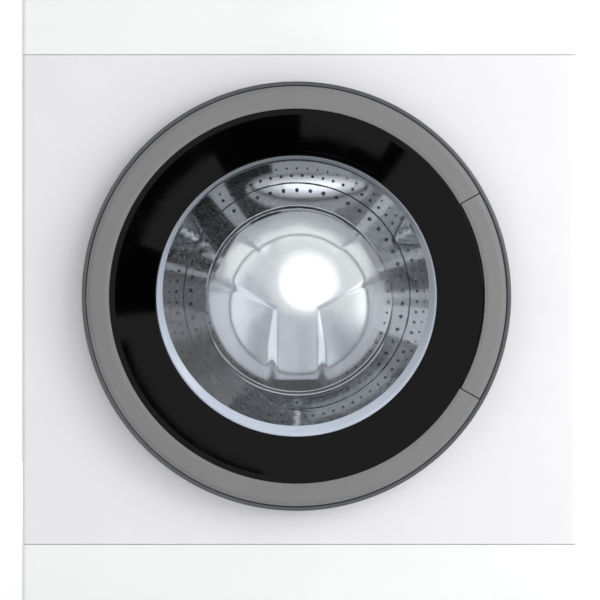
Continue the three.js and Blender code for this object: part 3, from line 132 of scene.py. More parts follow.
def place_in(tree):
    """A point's place in its own piece, in metres."""
    return add(tree, "TexCoord", output="Object")


def ring_place(tree):
    """(radius, depth) in place of (x, y, z), for a turned finish."""
    split = add(tree, "SeparateXYZ", {0: place_in(tree)}).node.outputs
    flat = add(tree, "CombineXYZ", {"X": split["X"], "Z": split["Z"]})
    radius = add(tree, "VectorMath", {0: flat}, "Value", operation="LENGTH")
    return add(tree, "CombineXYZ", {"X": radius, "Y": split["Y"]})


def noise(tree, place, scale):
    """Fractal noise, with its scale in features to the metre."""
    return add(tree, "TexNoise", {"Scale": scale, "Detail": 3.0, "Roughness": 0.55,
                                  "Vector": place}, "Fac")


def cells(tree, place, scale):
    """A random value for each cell of a crystal pattern."""
    crystals = add(tree, "TexVoronoi", {"Scale": scale, "Vector": place}, "Color")
    return add(tree, "SeparateColor", {0: crystals})


def ramp(tree, value, start, end, low, high, kind="LINEAR"):
    """Turns a value between start and end into one between low and high."""
    return add(tree, "MapRange", {"Value": value, "From Min": start, "From Max": end,
                                  "To Min": low, "To Max": high},
               "Result", interpolation_type=kind)


def look(name, code, roughness, metallic=0.0, tint=0.04, tint_scale=9.0, rough_spread=0.05,
         rough_scale=40.0, grain=900.0, relief=0.01, rings=False, pattern=noise, **sockets):
    """A Principled material whose colour, roughness and relief vary with procedural noise. The
    scales and grain are in features to the metre."""
    made = LOOKS[name] = bpy.data.materials.new(name)
    made.use_nodes = True
    tree = made.node_tree
    shader = tree.nodes["Principled BSDF"].inputs
    shader["Metallic"].default_value = metallic
    for key, value in sockets.items():
        shader[key.replace("_", " ")].default_value = value
    place = ring_place(tree) if rings else place_in(tree)
    base = linear(code)
    share = ramp(tree, pattern(tree, place, tint_scale), NOISE_LOW, NOISE_HIGH, 0, 1)
    mix = add(tree, "Mix", {"A": [c * (1 - tint) for c in base] + [1],
                            "B": [min(1, c * (1 + tint)) for c in base] + [1],
                            "Factor": share}, "Result", data_type="RGBA")
    feed(tree, shader["Base Color"], mix)
    smoothest = max(0.01, roughness - rough_spread)
    feed(tree, shader["Roughness"], ramp(tree, pattern(tree, place, rough_scale), NOISE_LOW,
                                         NOISE_HIGH, smoothest, roughness + rough_spread))
    bump = add(tree, "Bump", {"Distance": relief * MM, "Height": noise(tree, place, grain)})
    feed(tree, shader["Normal"], bump)
    return made


def turned(made, amount):
    """Brushing in circles about the middle of the piece."""
    tree = made.node_tree
    shader = tree.nodes["Principled BSDF"].inputs
    shader["Anisotropic"].default_value = amount
    feed(tree, shader["Tangent"], add(tree, "Tangent", direction_type="RADIAL", axis="Y"))
    return made


def graded(made, direction, start, end, dark, light):
    """Paints light and shade into a colour: multiplies it by dark to light along a direction of the
    piece.
    """
    tree = made.node_tree
    base = tree.nodes["Principled BSDF"].inputs["Base Color"]
    before = base.links[0].from_socket
    along = add(tree, "VectorMath", {0: place_in(tree), 1: direction}, "Value",
                operation="DOT_PRODUCT")
    share = ramp(tree, along, start * MM, end * MM, dark, light, "SMOOTHSTEP")
    feed(tree, base, add(tree, "VectorMath", {0: before, "Scale": share}, operation="SCALE"))
    return made


def make_glass():
    """Clear glass that bends what is seen through it and lets the lamps' light pass."""
    made = look("clear_glass", "f7f9fb", 0.0, tint=0.01, rough_spread=0.0, grain=25, relief=0.02,
                Transmission_Weight=1.0, IOR=1.48, Specular_IOR_Level=0.3)
    tree = made.node_tree
    clear = add(tree, "BsdfTransparent", {"Color": (0.94, 0.96, 0.97, 1)})
    glass = tree.nodes["Principled BSDF"].outputs[0]
    shadow = add(tree, "LightPath", output="Is Shadow Ray")
    feed(tree, tree.nodes["Material Output"].inputs["Surface"],
         add(tree, "MixShader", {0: shadow, 1: glass, 2: clear}))
    return made


look("white_plastic", "f1f2f2", 0.42, tint=0.01, grain=1500, relief=0.008)
look("dark_rim", "55565b", 0.3, metallic=0.75, tint=0.05, relief=0.008)
turned(look("drum_steel", "b6bbc2", 0.24, metallic=1.0, tint=0.07, tint_scale=600, grain=2600,
            rough_spread=0.07, rough_scale=900, relief=0.006, rings=True), 0.6)
look("zinc_steel", "b2b6ba", 0.42, metallic=0.95, tint=0.045, tint_scale=120, grain=700,
     rough_spread=0.07, rough_scale=120, pattern=cells)
look("grey_rubber", "6f7275", 0.62, tint=0.08, rough_spread=0.1, grain=1200, relief=0.02)
look("black_rubber", "1b1b1d", 0.7, tint=0.2, rough_spread=0.12, grain=1400, relief=0.03)
look("tub_plastic", "c9cccd", 0.55, tint=0.05, grain=800, relief=0.02)
look("cast_aluminium", "9a9ea2", 0.5, metallic=0.9, tint=0.1, grain=500, relief=0.06)
look("concrete", "98958d", 0.9, tint=0.2, tint_scale=25, grain=160, relief=0.4)
look("dark_plastic", "2b2c30", 0.45, tint=0.1, grain=1100, relief=0.015)
look("blue_plastic", "2f6fb0", 0.4, tint=0.06)
look("circuit", "1e6a3c", 0.5, tint=0.25, tint_scale=120, grain=300, relief=0.1)
make_glass()
LOOKS["white_paint"] = look("white_enamel", "e6e6e8", 0.34, tint=0.012, grain=420, relief=0.012,
                            Coat_Weight=0.3, Coat_Roughness=0.18)
LOOKS["grey_trim"] = look("grey_satin", "7a7a7b", 0.42, tint=0.03, grain=1400, relief=0.006,
                          Specular_IOR_Level=0.3)
LOOKS["black_gloss"] = look("piano_black", "020203", 0.045, tint=0.1, rough_spread=0.015, grain=30,
                            Specular_IOR_Level=0.16)
POLISHED = look("polished_steel", "d8d9da", 0.062, metallic=1.0, tint=0.03, tint_scale=30,
                rough_spread=0.012, rough_scale=60, grain=20, relief=0.004, rings=True)
# Painted shade: a dark colour that stands for the hollow inside each hole of the drum's back.
HOLE_SHADE = look("hole_shadow", "37393d", 0.5, tint=0.1)
# Painted light on the lip: its colour runs from dark at the top to light at the bottom, as light from
# above would fall on it.
LIP_PAINTED_LIGHT = graded(look("ground_glass_painted_light", "b6bfce", 0.2, tint=0.05, tint_scale=14, grain=60, relief=0.05,
                     Coat_Weight=0.3, Coat_Roughness=0.08),
                (-0.25, 0, -0.97), -140, 170, 0.42, 1.08)

# -------- making pieces


def link(name, data):
    """An object in the scene."""
    made = bpy.data.objects.new(name, data)
    bpy.context.scene.collection.objects.link(made)
    return made


def mesh_of(name, vertices, faces, unit=MM):
    """A mesh with its faces turned outwards."""
    mesh = bpy.data.meshes.new(name)
    mesh.from_pydata([tuple(Vector(v) * unit) for v in vertices], [], faces)
    with_bmesh(mesh, lambda shape: bmesh.ops.recalc_face_normals(shape, faces=shape.faces))
    return mesh


def with_bmesh(mesh, change):
    """Runs a change on a mesh."""
    shape = bmesh.new()
    shape.from_mesh(mesh)
    change(shape)
    shape.to_mesh(mesh)
    shape.free()


def weld(mesh, distance):
    """Joins vertices that are closer than a distance."""
    with_bmesh(mesh, lambda shape: bmesh.ops.remove_doubles(shape, verts=shape.verts,
                                                            dist=distance * MM))


def lists(shape):
    """A bmesh's vertices and faces; the bmesh is freed."""
    shape.verts.index_update()
    vertices = [v.co.copy() for v in shape.verts]
    faces = [[v.index for v in f.verts] for f in shape.faces]
    shape.free()
    return vertices, faces


def settle(made):
    """Large faces keep their own normals, and only the rounded edges between them turn."""
    for modifier in [m for m in made.modifiers if m.type == "WEIGHTED_NORMAL"]:
        made.modifiers.remove(modifier)
    made.modifiers.new("normals", "WEIGHTED_NORMAL").keep_sharp = True


def thicken(made, thickness, offset):
    """Gives a sheet its thickness."""
    sheet = made.modifiers.new("sheet", "SOLIDIFY")
    sheet.thickness = thickness * MM
    sheet.offset = offset
    settle(made)


def piece(name, vertices, faces, cad=None, slot=None, body="cabinet", origin=(0, 0, 0),
          bends=False, smooth=40, material=None, unit=MM):
    """A mesh object."""
    mesh = mesh_of(name, vertices, faces, unit)
    mesh.polygons.foreach_set("use_smooth", [True] * len(mesh.polygons))
    mesh.set_sharp_from_angle(angle=radians(smooth))
    slot = slot or SLOT_OF[cad]
    mesh.materials.append(material or LOOKS[slot])
    made = link(name, mesh)
    made.location = Vector(origin) * MM
    if not bends:
        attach(made, BODY_OF.get(cad, body))
    if cad:
        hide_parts(cad)
    settle(made)
    return made


def grid_faces(rows, columns, closed=False, start=0):
    """Faces between rows of vertices; closed joins each row's end to its start."""
    faces = []
    for row in range(rows - 1):
        near = start + row * columns
        far = near + columns
        for k in range(columns if closed else columns - 1):
            nxt = (k + 1) % columns
            faces.append([near + k, near + nxt, far + nxt, far + k])
    return faces


def oval(x, z, across, up, count=48):
    """Points of an ellipse, or of a circle if across and up are the same."""
    turns = [2 * pi * k / count for k in range(count)]
    return [(x + across * cos(t), z + up * sin(t)) for t in turns]


def smooth_step(low, high, value):
    """0 up to low, 1 from high on and a smooth rise between."""
    t = min(1, max(0, (value - low) / (high - low)))
    return t * t * (3 - 2 * t)


def rounded(points, steps=5):
    """A closed outline of (radius, depth) or (radius, depth, fillet) points, with arcs at fillets."""
    outline = []
    for i, point in enumerate(points):
        here = Vector(point[:2])
        if len(point) < 3:
            outline.append(here)
            continue
        before = (Vector(points[i - 1][:2]) - here).normalized()
        after = (Vector(points[(i + 1) % len(points)][:2]) - here).normalized()
        half = before.angle(after) / 2
        centre = here + (before + after).normalized() * (point[2] / sin(half))
        start = here + before * (point[2] / tan(half)) - centre
        sweep = start.angle_signed(here + after * (point[2] / tan(half)) - centre)
        for k in range(steps + 1):
            outline.append(centre + Matrix.Rotation(-sweep * k / steps, 2) @ start)
    return outline


def lathe(name, points, cad=None, turn=(0, 360), segments=192, centre=AXIS, lean=None,
          solid=False, upright=False, **facts):
    """A ring turned about Y, or about Z if upright, from an outline of (radius, place on the axis)
    points. solid runs the first and last points to the axis, lean moves each vertex and facts are
    for piece()."""
    outline = rounded(points)
    whole = turn[1] - turn[0] == 360
    steps = segments if whole else max(3, round(segments * (turn[1] - turn[0]) / 360))
    rows = steps if whole else steps + 1
    vertices = []
    for i in range(rows):
        angle = radians(turn[0] + (turn[1] - turn[0]) * i / steps)
        for radius, depth in outline:
            place = Vector((radius * cos(angle), depth, radius * sin(angle)))
            if upright:
                place = place.xzy
            vertices.append(lean(place) if lean else place)
    count = len(outline)
    faces = []
    for i in range(steps):
        near, far = i * count, (i + 1) % rows * count
        for k in range(count - (1 if solid else 0)):
            nxt = (k + 1) % count
            corners = [near + k, far + k, far + nxt, near + nxt]
            if solid and outline[k].x == 0:
                corners.remove(far + k)
            elif solid and outline[nxt].x == 0:
                corners.remove(far + nxt)
            faces.append(corners)
    if not whole:
        faces += [[end + k for k in range(count)] for end in (0, steps * count)]
    made = piece(name, vertices, faces, cad, origin=centre, **facts)
    if solid:
        weld(made.data, 0.0001)
    return made


def box_piece(name, low, high, bevel, cad=None, **facts):
    """A block with rounded edges between two corners."""
    low, high = Vector(low), Vector(high)
    shape = bmesh.new()
    bmesh.ops.create_cube(shape, size=1)
    bmesh.ops.scale(shape, vec=high - low, verts=shape.verts)
    bmesh.ops.bevel(shape, geom=shape.edges, offset=bevel, segments=4, profile=0.5, affect="EDGES")
    return piece(name, *lists(shape), cad, origin=(low + high) / 2, smooth=30, **facts)


def softened(name, cad, bevel):
    """A CAD node's own shape, with its flats made whole and its sharp edges rounded off."""
    shape = bmesh.new()
    shape.from_mesh(NODES[cad].data)
    bmesh.ops.remove_doubles(shape, verts=shape.verts, dist=0.001 * MM)
    bmesh.ops.dissolve_limit(shape, angle_limit=radians(1), verts=shape.verts,
                             edges=shape.edges)
    sharp = [e for e in shape.edges
             if len(e.link_faces) == 2 and e.calc_face_angle() > radians(30)]
    bmesh.ops.bevel(shape, geom=sharp, offset=bevel * MM, segments=3, profile=0.5, affect="EDGES",
                    clamp_overlap=True)
    piece(name, *lists(shape), cad, smooth=35, unit=1)


def cut_away(made, *cutters):
    """Cuts closed shapes out of a piece and throws the cutters away."""
    made.modifiers.remove(made.modifiers["normals"])
    for cutter in cutters:
        cut = made.modifiers.new("cut", "BOOLEAN")
        cut.operation = "DIFFERENCE"
        cut.solver = "EXACT"
        cut.object = cutter
    view = bpy.context.evaluated_depsgraph_get()
    done = bpy.data.meshes.new_from_object(made.evaluated_get(view))
    made.modifiers.clear()
    old = made.data
    made.data = done
    bpy.data.meshes.remove(old)
    for cutter in cutters:
        mesh = cutter.data
        bpy.data.objects.remove(cutter)
        bpy.data.meshes.remove(mesh)
    made.data.set_sharp_from_angle(angle=radians(35))
    settle(made)


def prism(outline, low, high):
    """A cutter with an outline of (x, z) points between two depths in y."""
    count = len(outline)
    vertices = [(x, y, z) for y in (low, high) for x, z in outline]
    faces = [list(range(count)), list(range(count, 2 * count))] + grid_faces(2, count, True)
    return link("cutter", mesh_of("cutter", vertices, faces))


def slot_hole(left, right, half, front, back):
    """A cutter as high above as below the door's axis, between two depths behind the face."""
    low, high = AXIS.z - half, AXIS.z + half
    return prism([(left, low), (right, low), (right, high), (left, high)], FACE + front, FACE + back)


def folded(start, end, pitch, radius, fold):
    """(place, drop) pairs across a sheet: a fold, a rounded edge, the flat and the same again."""
    steps = 4
    edge = [(start, fold), (start, radius)]
    for k in range(1, steps + 1):
        turn = pi / 2 * k / steps
        edge.append((start + radius * (1 - cos(turn)), radius * (1 - sin(turn))))
    width = end - start - 2 * radius
    count = max(1, round(width / pitch))
    flat = [(start + radius + width * k / count, 0) for k in range(1, count)]
    return edge + flat + [(start + end - place, drop) for place, drop in reversed(edge)]


def sheet_metal(name, across, up, face, inward, thickness, cad, press=None):
    """A folded steel sheet. across and up are lists from folded(); face(a, u) puts a point on its
    plane, inward points into the machine and press(a, u) is how deep the sheet is pressed there."""
    vertices = []
    for u, drop_u in up:
        for a, drop_a in across:
            depth = max(drop_a, drop_u)
            if depth == 0 and press:
                depth = press(a, u)
            vertices.append(face(a, u) + inward * depth)
    made = piece(name, vertices, grid_faces(len(up), len(across)), cad, smooth=30)
    if sum(p.normal.dot(inward) * p.area for p in made.data.polygons) > 0:
        made.data.flip_normals()
    thicken(made, thickness, -1)
    return made


def inside_box(a, u, centre_a, centre_u, half_a, half_u, radius):
    """Distance inside the edge of a rounded rectangle; negative outside it."""
    da = abs(a - centre_a) - half_a + radius
    du = abs(u - centre_u) - half_u + radius
    return radius - hypot(max(da, 0), max(du, 0)) - min(max(da, du), 0)


def around(radius, turns, depth):
    """Places on a circle round the door's axis."""
    return [(AXIS.x + radius * cos(radians(turn)), depth,
             AXIS.z + radius * sin(radians(turn))) for turn in turns]


SCREW_RINGS = (  # share of the radius, height, corners
    (0, 3.4, 6), (0.75, 3.4, 6), (0.95, 3.0, 6), (1, 1.3, 6), (1.02, 1.2, 24), (1.6, 1.0, 24),
    (1.7, 0.5, 24), (1.7, 0, 24))


def screws(name, places, body="cabinet", radius=4):
    """Hexagon-head screws with a washer face, all in one piece, that face the back."""
    vertices, faces = [], []
    sides = 24
    for number, (x, y, z) in enumerate(places):
        start = len(vertices)
        twist = 0.7 * number
        for scale, height, corners in SCREW_RINGS:
            half = pi / corners
            for k in range(sides):
                turn = 2 * pi * k / sides
                flat = cos(half) / cos(turn % (2 * half) - half) if corners == 6 else 1
                size = radius * scale * flat
                vertices.append((x + size * cos(turn + twist), y + height,
                                 z + size * sin(turn + twist)))
        faces += grid_faces(len(SCREW_RINGS), sides, True, start)
        faces.append(list(range(len(vertices) - sides, len(vertices))))
    piece(name, vertices, faces, slot="zinc_steel", body=body, smooth=30)


# -------- door

SIDES = ((-1, "lower"), (1, "upper"))
RIM_OUT = radii("door_outer_frame")[1]
RIM_FRONT, RIM_BACK = depths("door_outer_frame")
TRIM_IN, TRIM_OUT = radii("door_trim_ring")
TRIM_FRONT, TRIM_BACK = depths("door_trim_ring")
COVER_IN, COVER_OUT = radii("door_cover_ring")
COVER_FRONT, COVER_BACK = depths("door_cover_ring")
GLASS_FRONT, GLASS_BACK = depths("door_glass")
FLANGE_OUT = radii("door_glass")[1]
HANDLE_HALF = 29.5  # half the turn that the handle takes of the grey ring
RECESS_HALF = 27  # half the turn of the hollow behind it
LEDGE = TRIM_BACK + 0.3
RIB_OUT = COVER_OUT + 3
PLATE_FRONT, PLATE_BACK = -9, -6  # depths of the door's inner ring
HINGE_GAP = 10.6  # half the height of the slots for the hinge
HINGE_SIDE = PIN.x + 8
BOWL_END = 107  # radius of the bowl's flat end
BOWL_WALL = 2.2
RIM_BEAD = COVER_IN - 0.5
BOWL_MOUTH = RIM_BEAD - 5.6
BOWL_NECK = RIM_BEAD - 1.7
LIP_WIDTH = 7.2
FLANGE_BACK = -18.2
FLANGE_FRONT = FLANGE_BACK - 6


def build_rim():
    """The dark outer rim, cut open behind the handle and at the hinge."""
    made = lathe("rim_shell", [
        (RIM_OUT, RIM_BACK, 0.8), (RIM_OUT, RIM_FRONT, 2.2), (TRIM_OUT + 0.5, RIM_FRONT, 1.2),
        (TRIM_OUT + 0.5, LEDGE), (RIB_OUT + 0.3, LEDGE), (RIB_OUT + 0.3, LEDGE + 3),
        (RIM_OUT - 4.4, LEDGE + 3, 1), (RIM_OUT - 4.4, RIM_BACK),
    ], "door_outer_frame")
    reach = 1.5 * RIM_OUT
    edge = reach * tan(radians(RECESS_HALF))
    far = AXIS.x + reach
    cut_away(made,
             prism([(AXIS.x, AXIS.z), (far, AXIS.z - edge), (far, AXIS.z + edge)],
                   FACE + LEDGE - 0.3, FACE + PLATE_BACK),
             slot_hole(AXIS.x - RIM_OUT - 1, HINGE_SIDE, HINGE_GAP, RIM_FRONT + 4, RIM_BACK + 1))


def trim_outline(inner, outer):
    """The grey ring's section."""
    return [(inner, TRIM_BACK), (inner, TRIM_FRONT + 1, 0.9), (inner + 4, TRIM_FRONT, 3),
            (outer - 5, TRIM_FRONT + 0.4, 4), (outer, TRIM_FRONT + 3, 1.5), (outer, TRIM_BACK)]


def build_trim():
    """The grey ring, and its right-hand stretch, which is the handle."""
    lathe("grey_ring", trim_outline(TRIM_IN, TRIM_OUT), "door_trim_ring",
          turn=(HANDLE_HALF, 360 - HANDLE_HALF))
    outer = TRIM_OUT - 0.3
    back = depths("door_handle")[1]
    half = HANDLE_HALF - 0.35
    lathe("grip_segment", trim_outline(TRIM_IN + 1, outer), "door_handle", turn=(-half, half))
    half = RECESS_HALF - 0.65
    lathe("grip_lip", [(outer, TRIM_BACK - 1), (outer, back, 2), (outer - 6, back, 2),
                       (outer - 6, TRIM_BACK - 1)],
          slot="grey_trim", body="handle", turn=(-half, half))
    pivot = box("door_handle")[0].x + 6
    arm = TRIM_IN * sin(radians(RECESS_HALF)) - 5
    for side, label in SIDES:
        height = AXIS.z + side * arm
        box_piece(f"grip_arm_{label}", (pivot - 5, FACE - 31.5, height - 3),
                  (pivot + 14, FACE + TRIM_BACK - 0.3, height + 3), 0.8,
                  slot="grey_trim", body="handle")


def build_cover():
    """The black gloss ring, which dips towards the glass."""
    dip = COVER_BACK - 3
    lathe("black_ring", [
        (COVER_OUT, COVER_FRONT + 4), (COVER_OUT, COVER_FRONT, 1.2),
        (COVER_OUT - 5, COVER_FRONT, 12), (COVER_IN + 5, dip - 1, 12), (COVER_IN, dip, 1),
        (COVER_IN, dip + 2.5),
    ], "door_cover_ring", segments=256)


def bowl_lean(place):
    """Everything behind the flange drifts down and sideways with depth, as the bowl does."""
    share = max(0, place.y - FLANGE_BACK) / (GLASS_BACK - FLANGE_BACK)
    return place + share * Vector((2.7, 0, -9.8))


def lip_lean(place):
    """The lip's inner edge sits up and to the left, so that the lip is widest at lower right."""
    share = max(0, RIM_BEAD - hypot(place.x, place.z)) / LIP_WIDTH
    return place + share * Vector((-0.6, 0, 3.9))


def build_glass():
    """The clear bowl and its ground lip, whose colour has painted light, dark at the top and light at
    the bottom.
    """
    lathe("bowl_lip", [
        (RIM_BEAD - 1.6, GLASS_FRONT, 1.4), (RIM_BEAD, GLASS_FRONT + 1.2, 0.8),
        (RIM_BEAD, FLANGE_FRONT - 0.1), (RIM_BEAD - LIP_WIDTH, FLANGE_FRONT - 0.1),
    ], slot="clear_glass", body="door", segments=256, lean=lip_lean, material=LIP_PAINTED_LIGHT)
    lathe("bowl", [
        (0, GLASS_BACK - BOWL_WALL), (BOWL_END - BOWL_WALL, GLASS_BACK - BOWL_WALL, 0.5),
        (BOWL_MOUTH + 0.4, FLANGE_FRONT + 3, 2), (BOWL_MOUTH + 0.7, FLANGE_FRONT),
        (RIM_BEAD, FLANGE_FRONT), (FLANGE_OUT - 6, FLANGE_FRONT + 1), (FLANGE_OUT - 6, FLANGE_BACK),
        (BOWL_NECK, FLANGE_BACK, 3), (BOWL_END, GLASS_BACK, 0.7), (0, GLASS_BACK),
    ], "door_glass", segments=256, lean=bowl_lean, smooth=60, solid=True)


def build_inner_frame():
    """The door's inside: a dark ring that holds the bowl, with its lugs, posts and screws."""
    neck = BOWL_NECK + 1
    made = lathe("inner_ring", [
        (neck, PLATE_BACK, 1), (RIM_OUT - 4.7, PLATE_BACK, 1.2), (RIM_OUT - 4.7, PLATE_FRONT),
        (RIB_OUT, PLATE_FRONT), (RIB_OUT, TRIM_BACK + 0.6), (RIB_OUT - 2, TRIM_BACK + 0.6),
        (RIB_OUT - 2, PLATE_FRONT), (FLANGE_OUT + 5, PLATE_FRONT),
        (FLANGE_OUT + 5, FLANGE_BACK + 0.3), (neck, FLANGE_BACK + 0.3),
    ], "door_inner_frame")
    front, back = PLATE_FRONT - 1, PLATE_BACK + 1
    cut_away(made, slot_hole(AXIS.x - RIM_OUT, HINGE_SIDE, HINGE_GAP, front, back),
             slot_hole(HOOK_LOW.x - 3.5, HOOK_HIGH.x + 3, 10.4, front, back))
    hook = (HOOK_LOW.x + HOOK_HIGH.x) / 2 + 0.9
    post_back = FACE + PLATE_FRONT + 1
    for side, label in SIDES:
        near, lug, ear = (AXIS.z + side * height for height in (10.3, 22.3, 14.3))
        box_piece(f"hinge_lug_{label}", (PIN.x - 6, PIN.y - 6, min(near, lug)),
                  (PIN.x + 6, post_back, max(near, lug)), 1.5, slot="dark_plastic", body="door")
        box_piece(f"latch_ear_{label}", (hook - 6, FACE - 23, min(near, ear)),
                  (hook + 6, post_back, max(near, ear)), 1, slot="dark_plastic", body="door")
    turns = (20, 62, 104, 142, 218, 256, 298, 340)
    screws("door_screws", around(190, turns, FACE + PLATE_BACK), "door", 3)


build_rim()
build_trim()
build_cover()
build_glass()
build_inner_frame()
softened("latch_claw", "latch_hook", 0.8)
softened("hinge_rod", "hinge_pin", 0.4)
softened("hinge_bracket", "door_hinge", 0.8)
softened("lock_case", "door_lock", 1.2)

# -------- drum

DRUM_FRONT, DRUM_BACK = depths("drum_shell")
DRUM_LIP, DRUM_RADIUS = radii("drum_shell")
SEAM = 160  # radius of the dark seam in the drum's back
INNER_STEP = 128  # radius inside which the back is one step deeper
STEP = 3
STEP_WIDTH = 2.6
STAR_REACH = 124
STAR_HALF = 40  # half the width of the star's arms
STAR_RISE = 0.35
STAR_EDGE = 16
ARM_TURNS = (180, 60, -60)
HUB = Vector((8, 40))  # middle of the star's soft hub
HUB_RADIUS = 120
HUB_EDGE = 90
HOLE_RINGS = (  # name, radius, number of holes, their radius
    ("holes_outer", 170, 72, 2.1), ("holes_edge", 180, 78, 1.4), ("holes_wide", 150, 50, 2.8),
    ("holes_inner", 120, 54, 1.5))
CELL = (  # a square's corners and the middles of its sides
    (0, 0), (0.5, 0), (1, 0), (1, 0.5), (1, 1), (0.5, 1), (0, 1), (0, 0.5))


def build_drum_wall():
    """The drum's wall, a sheet of square cells with a round hole in every other one."""
    rows, columns, hole = 24, 144, 0.24
    front, back = DRUM_FRONT + 10, DRUM_BACK - 4
    sides = len(CELL)
    vertices, faces = [], []

    def place(row, column):
        angle = 2 * pi * column / columns
        radius = DRUM_RADIUS - 1.2
        return radius * cos(angle), front + (back - front) * row / rows, radius * sin(angle)

    for row in range(rows):
        for column in range(columns):
            start = len(vertices)
            vertices += [place(row + v, column + u) for u, v in CELL]
            if (row + column) % 2:
                faces.append(list(range(start, start + sides)))
                continue
            for k in range(sides):
                angle = 2 * pi * k / sides - 3 * pi / 4
                vertices.append(place(row + 0.5 + hole * sin(angle),
                                      column + 0.5 + hole * cos(angle)))
            faces += grid_faces(2, sides, True, start)
    made = piece("drum_wall", vertices, faces, "drum_shell", origin=AXIS)
    weld(made.data, 0.05)
    thicken(made, 0.8, 1)


def build_drum_mouth():
    """The drum's rolled front edge."""
    lathe("drum_mouth", [
        (DRUM_RADIUS, DRUM_FRONT + 11), (DRUM_RADIUS, DRUM_FRONT, 9), (DRUM_LIP + 5, DRUM_FRONT, 4.5),
        (DRUM_LIP, DRUM_FRONT + 12), (DRUM_LIP + 1, DRUM_FRONT + 12),
        (DRUM_LIP + 6, DRUM_FRONT + 1, 3.5), (DRUM_RADIUS - 1, DRUM_FRONT + 1, 8),
        (DRUM_RADIUS - 1, DRUM_FRONT + 11),
    ], slot="drum_steel", body="drum")


def back_depth(x, z):
    """Depth of the drum's pressed back at a point: a round step and a raised star."""
    step = STEP * smooth_step(-INNER_STEP, STEP_WIDTH - INNER_STEP, -hypot(x, z))
    rise = smooth_step(0, HUB_EDGE, HUB_RADIUS - hypot(x - HUB.x, z - HUB.y))
    for turn in ARM_TURNS:
        angle = radians(90 - turn)
        along = x * cos(angle) + z * sin(angle)
        across = abs(x * sin(angle) - z * cos(angle))
        edge = min(STAR_HALF - across, STAR_REACH - along, STAR_HALF + along)
        rise = max(rise, smooth_step(0, STAR_EDGE, edge))
    return DRUM_BACK - 1.5 + STEP + step - STAR_RISE * rise


def build_drum_back():
    """The polished disc with its pressed star."""
    rings, spokes = 180, 288
    vertices = [(0, back_depth(0, 0), 0)]
    for ring in range(1, rings + 1):
        radius = (DRUM_RADIUS - 2) * ring / rings
        vertices += [(x, back_depth(x, z), z) for x, z in oval(0, 0, radius, radius, spokes)]
    faces = [[0, 1 + (spoke + 1) % spokes, 1 + spoke] for spoke in range(spokes)]
    faces += grid_faces(rings, spokes, True, 1)
    piece("drum_disc", vertices, faces, "drum_back", origin=AXIS, smooth=60, material=POLISHED)


def build_seam():
    """The dark seam where the drum's back is joined to its outer ring."""
    back = back_depth(SEAM, 0)
    lathe("drum_seam", [(SEAM - 1, back - 0.02), (SEAM - 1, back - 0.3, 0.1),
                        (SEAM + 1, back - 0.3, 0.1), (SEAM + 1, back - 0.02)],
          slot="dark_plastic", body="drum", segments=256)


def build_back_holes():
    """Rings of small holes, drawn as shallow cups in the pressed sheet, dark with painted shade for
    the hollow behind each hole.
    """
    sides = 12
    for name, radius, count, size in HOLE_RINGS:
        vertices, faces = [], []
        for i in range(count):
            angle = 2 * pi * (i + 0.5) / count
            x, z = radius * cos(angle), radius * sin(angle)
            start = len(vertices)
            for share, raised in ((1, 0.05), (0.8, 0.4)):
                vertices += [(a, back_depth(a, b) - raised, b)
                             for a, b in oval(x, z, share * size, share * size, sides)]
            vertices.append((x, back_depth(x, z) - 0.1, z))
            faces += grid_faces(2, sides, True, start)
            faces += [[start + sides + k, start + sides + (k + 1) % sides, start + 2 * sides]
                      for k in range(sides)]
        piece(name, vertices, faces, slot="dark_plastic", body="drum", origin=AXIS, material=HOLE_SHADE)


def build_lifters():
    """Three paddles, waved along their length and lower at their ends."""
    front, back = depths("lifter_1")
    rows, columns = 40, 16
    for number, turn in enumerate(ARM_TURNS, 1):
        angle = radians(90 - turn)
        out = Vector((cos(angle), 0, sin(angle)))
        side = Vector((-sin(angle), 0, cos(angle)))
        vertices = []
        for row in range(rows + 1):
            t = row / rows
            depth = Vector((0, front + (back - front) * t, 0))
            wave = 1.5 * sin(6 * pi * t)
            ends = min(smooth_step(0, 0.06, t), smooth_step(0, 0.06, 1 - t))
            for column in range(columns + 1):
                s = 2 * column / columns - 1
                crown = (1 - abs(s) ** 2.6) ** 0.6
                radius = DRUM_RADIUS - 5 - (DRUM_RADIUS - 162) * crown * (0.3 + 0.7 * ends)
                across = (18 + 18 * abs(s) ** 3) * s + wave
                vertices.append(out * radius + side * across + depth)
        piece(f"paddle_{number}", vertices, grid_faces(rows + 1, columns + 1),
              f"lifter_{number}", origin=AXIS, smooth=50)


build_drum_wall()
build_drum_mouth()
build_drum_back()
build_seam()
build_back_holes()
build_lifters()

# -------- between cabinet and tub

CUFF = 167.3  # radius of the boot's end on the tub


def build_boot():
    """The folded rubber boot, with two moulded grooves in its front face."""
    made = lathe("bellows", [
        (CUFF + 4, 61.7), (CUFF + 4, 40, 2), (174, 36, 2), (174, 27, 2), (164, 20, 3), (172, 12, 2),
        (182, 8, 1), (182, -1.2, 1.2), (173, -1.2, 2), (170.5, -0.4, 0.6), (169.5, 2.4, 0.6),
        (168, 2.6, 0.6), (167, 0.4, 0.6), (161.5, 1.9, 0.6), (160.5, 4.2, 0.5), (159.3, 4.4, 0.5),
        (158.4, 2.6, 0.5), (152.6, 1.2, 0.8), (152.6, 6, 1), (158, 16, 3), (158, 22, 2),
        (169, 30, 2), (169, 34, 1), (CUFF, 38, 2), (CUFF, 61.7),
    ], "door_boot", bends=True)
    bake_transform(made)


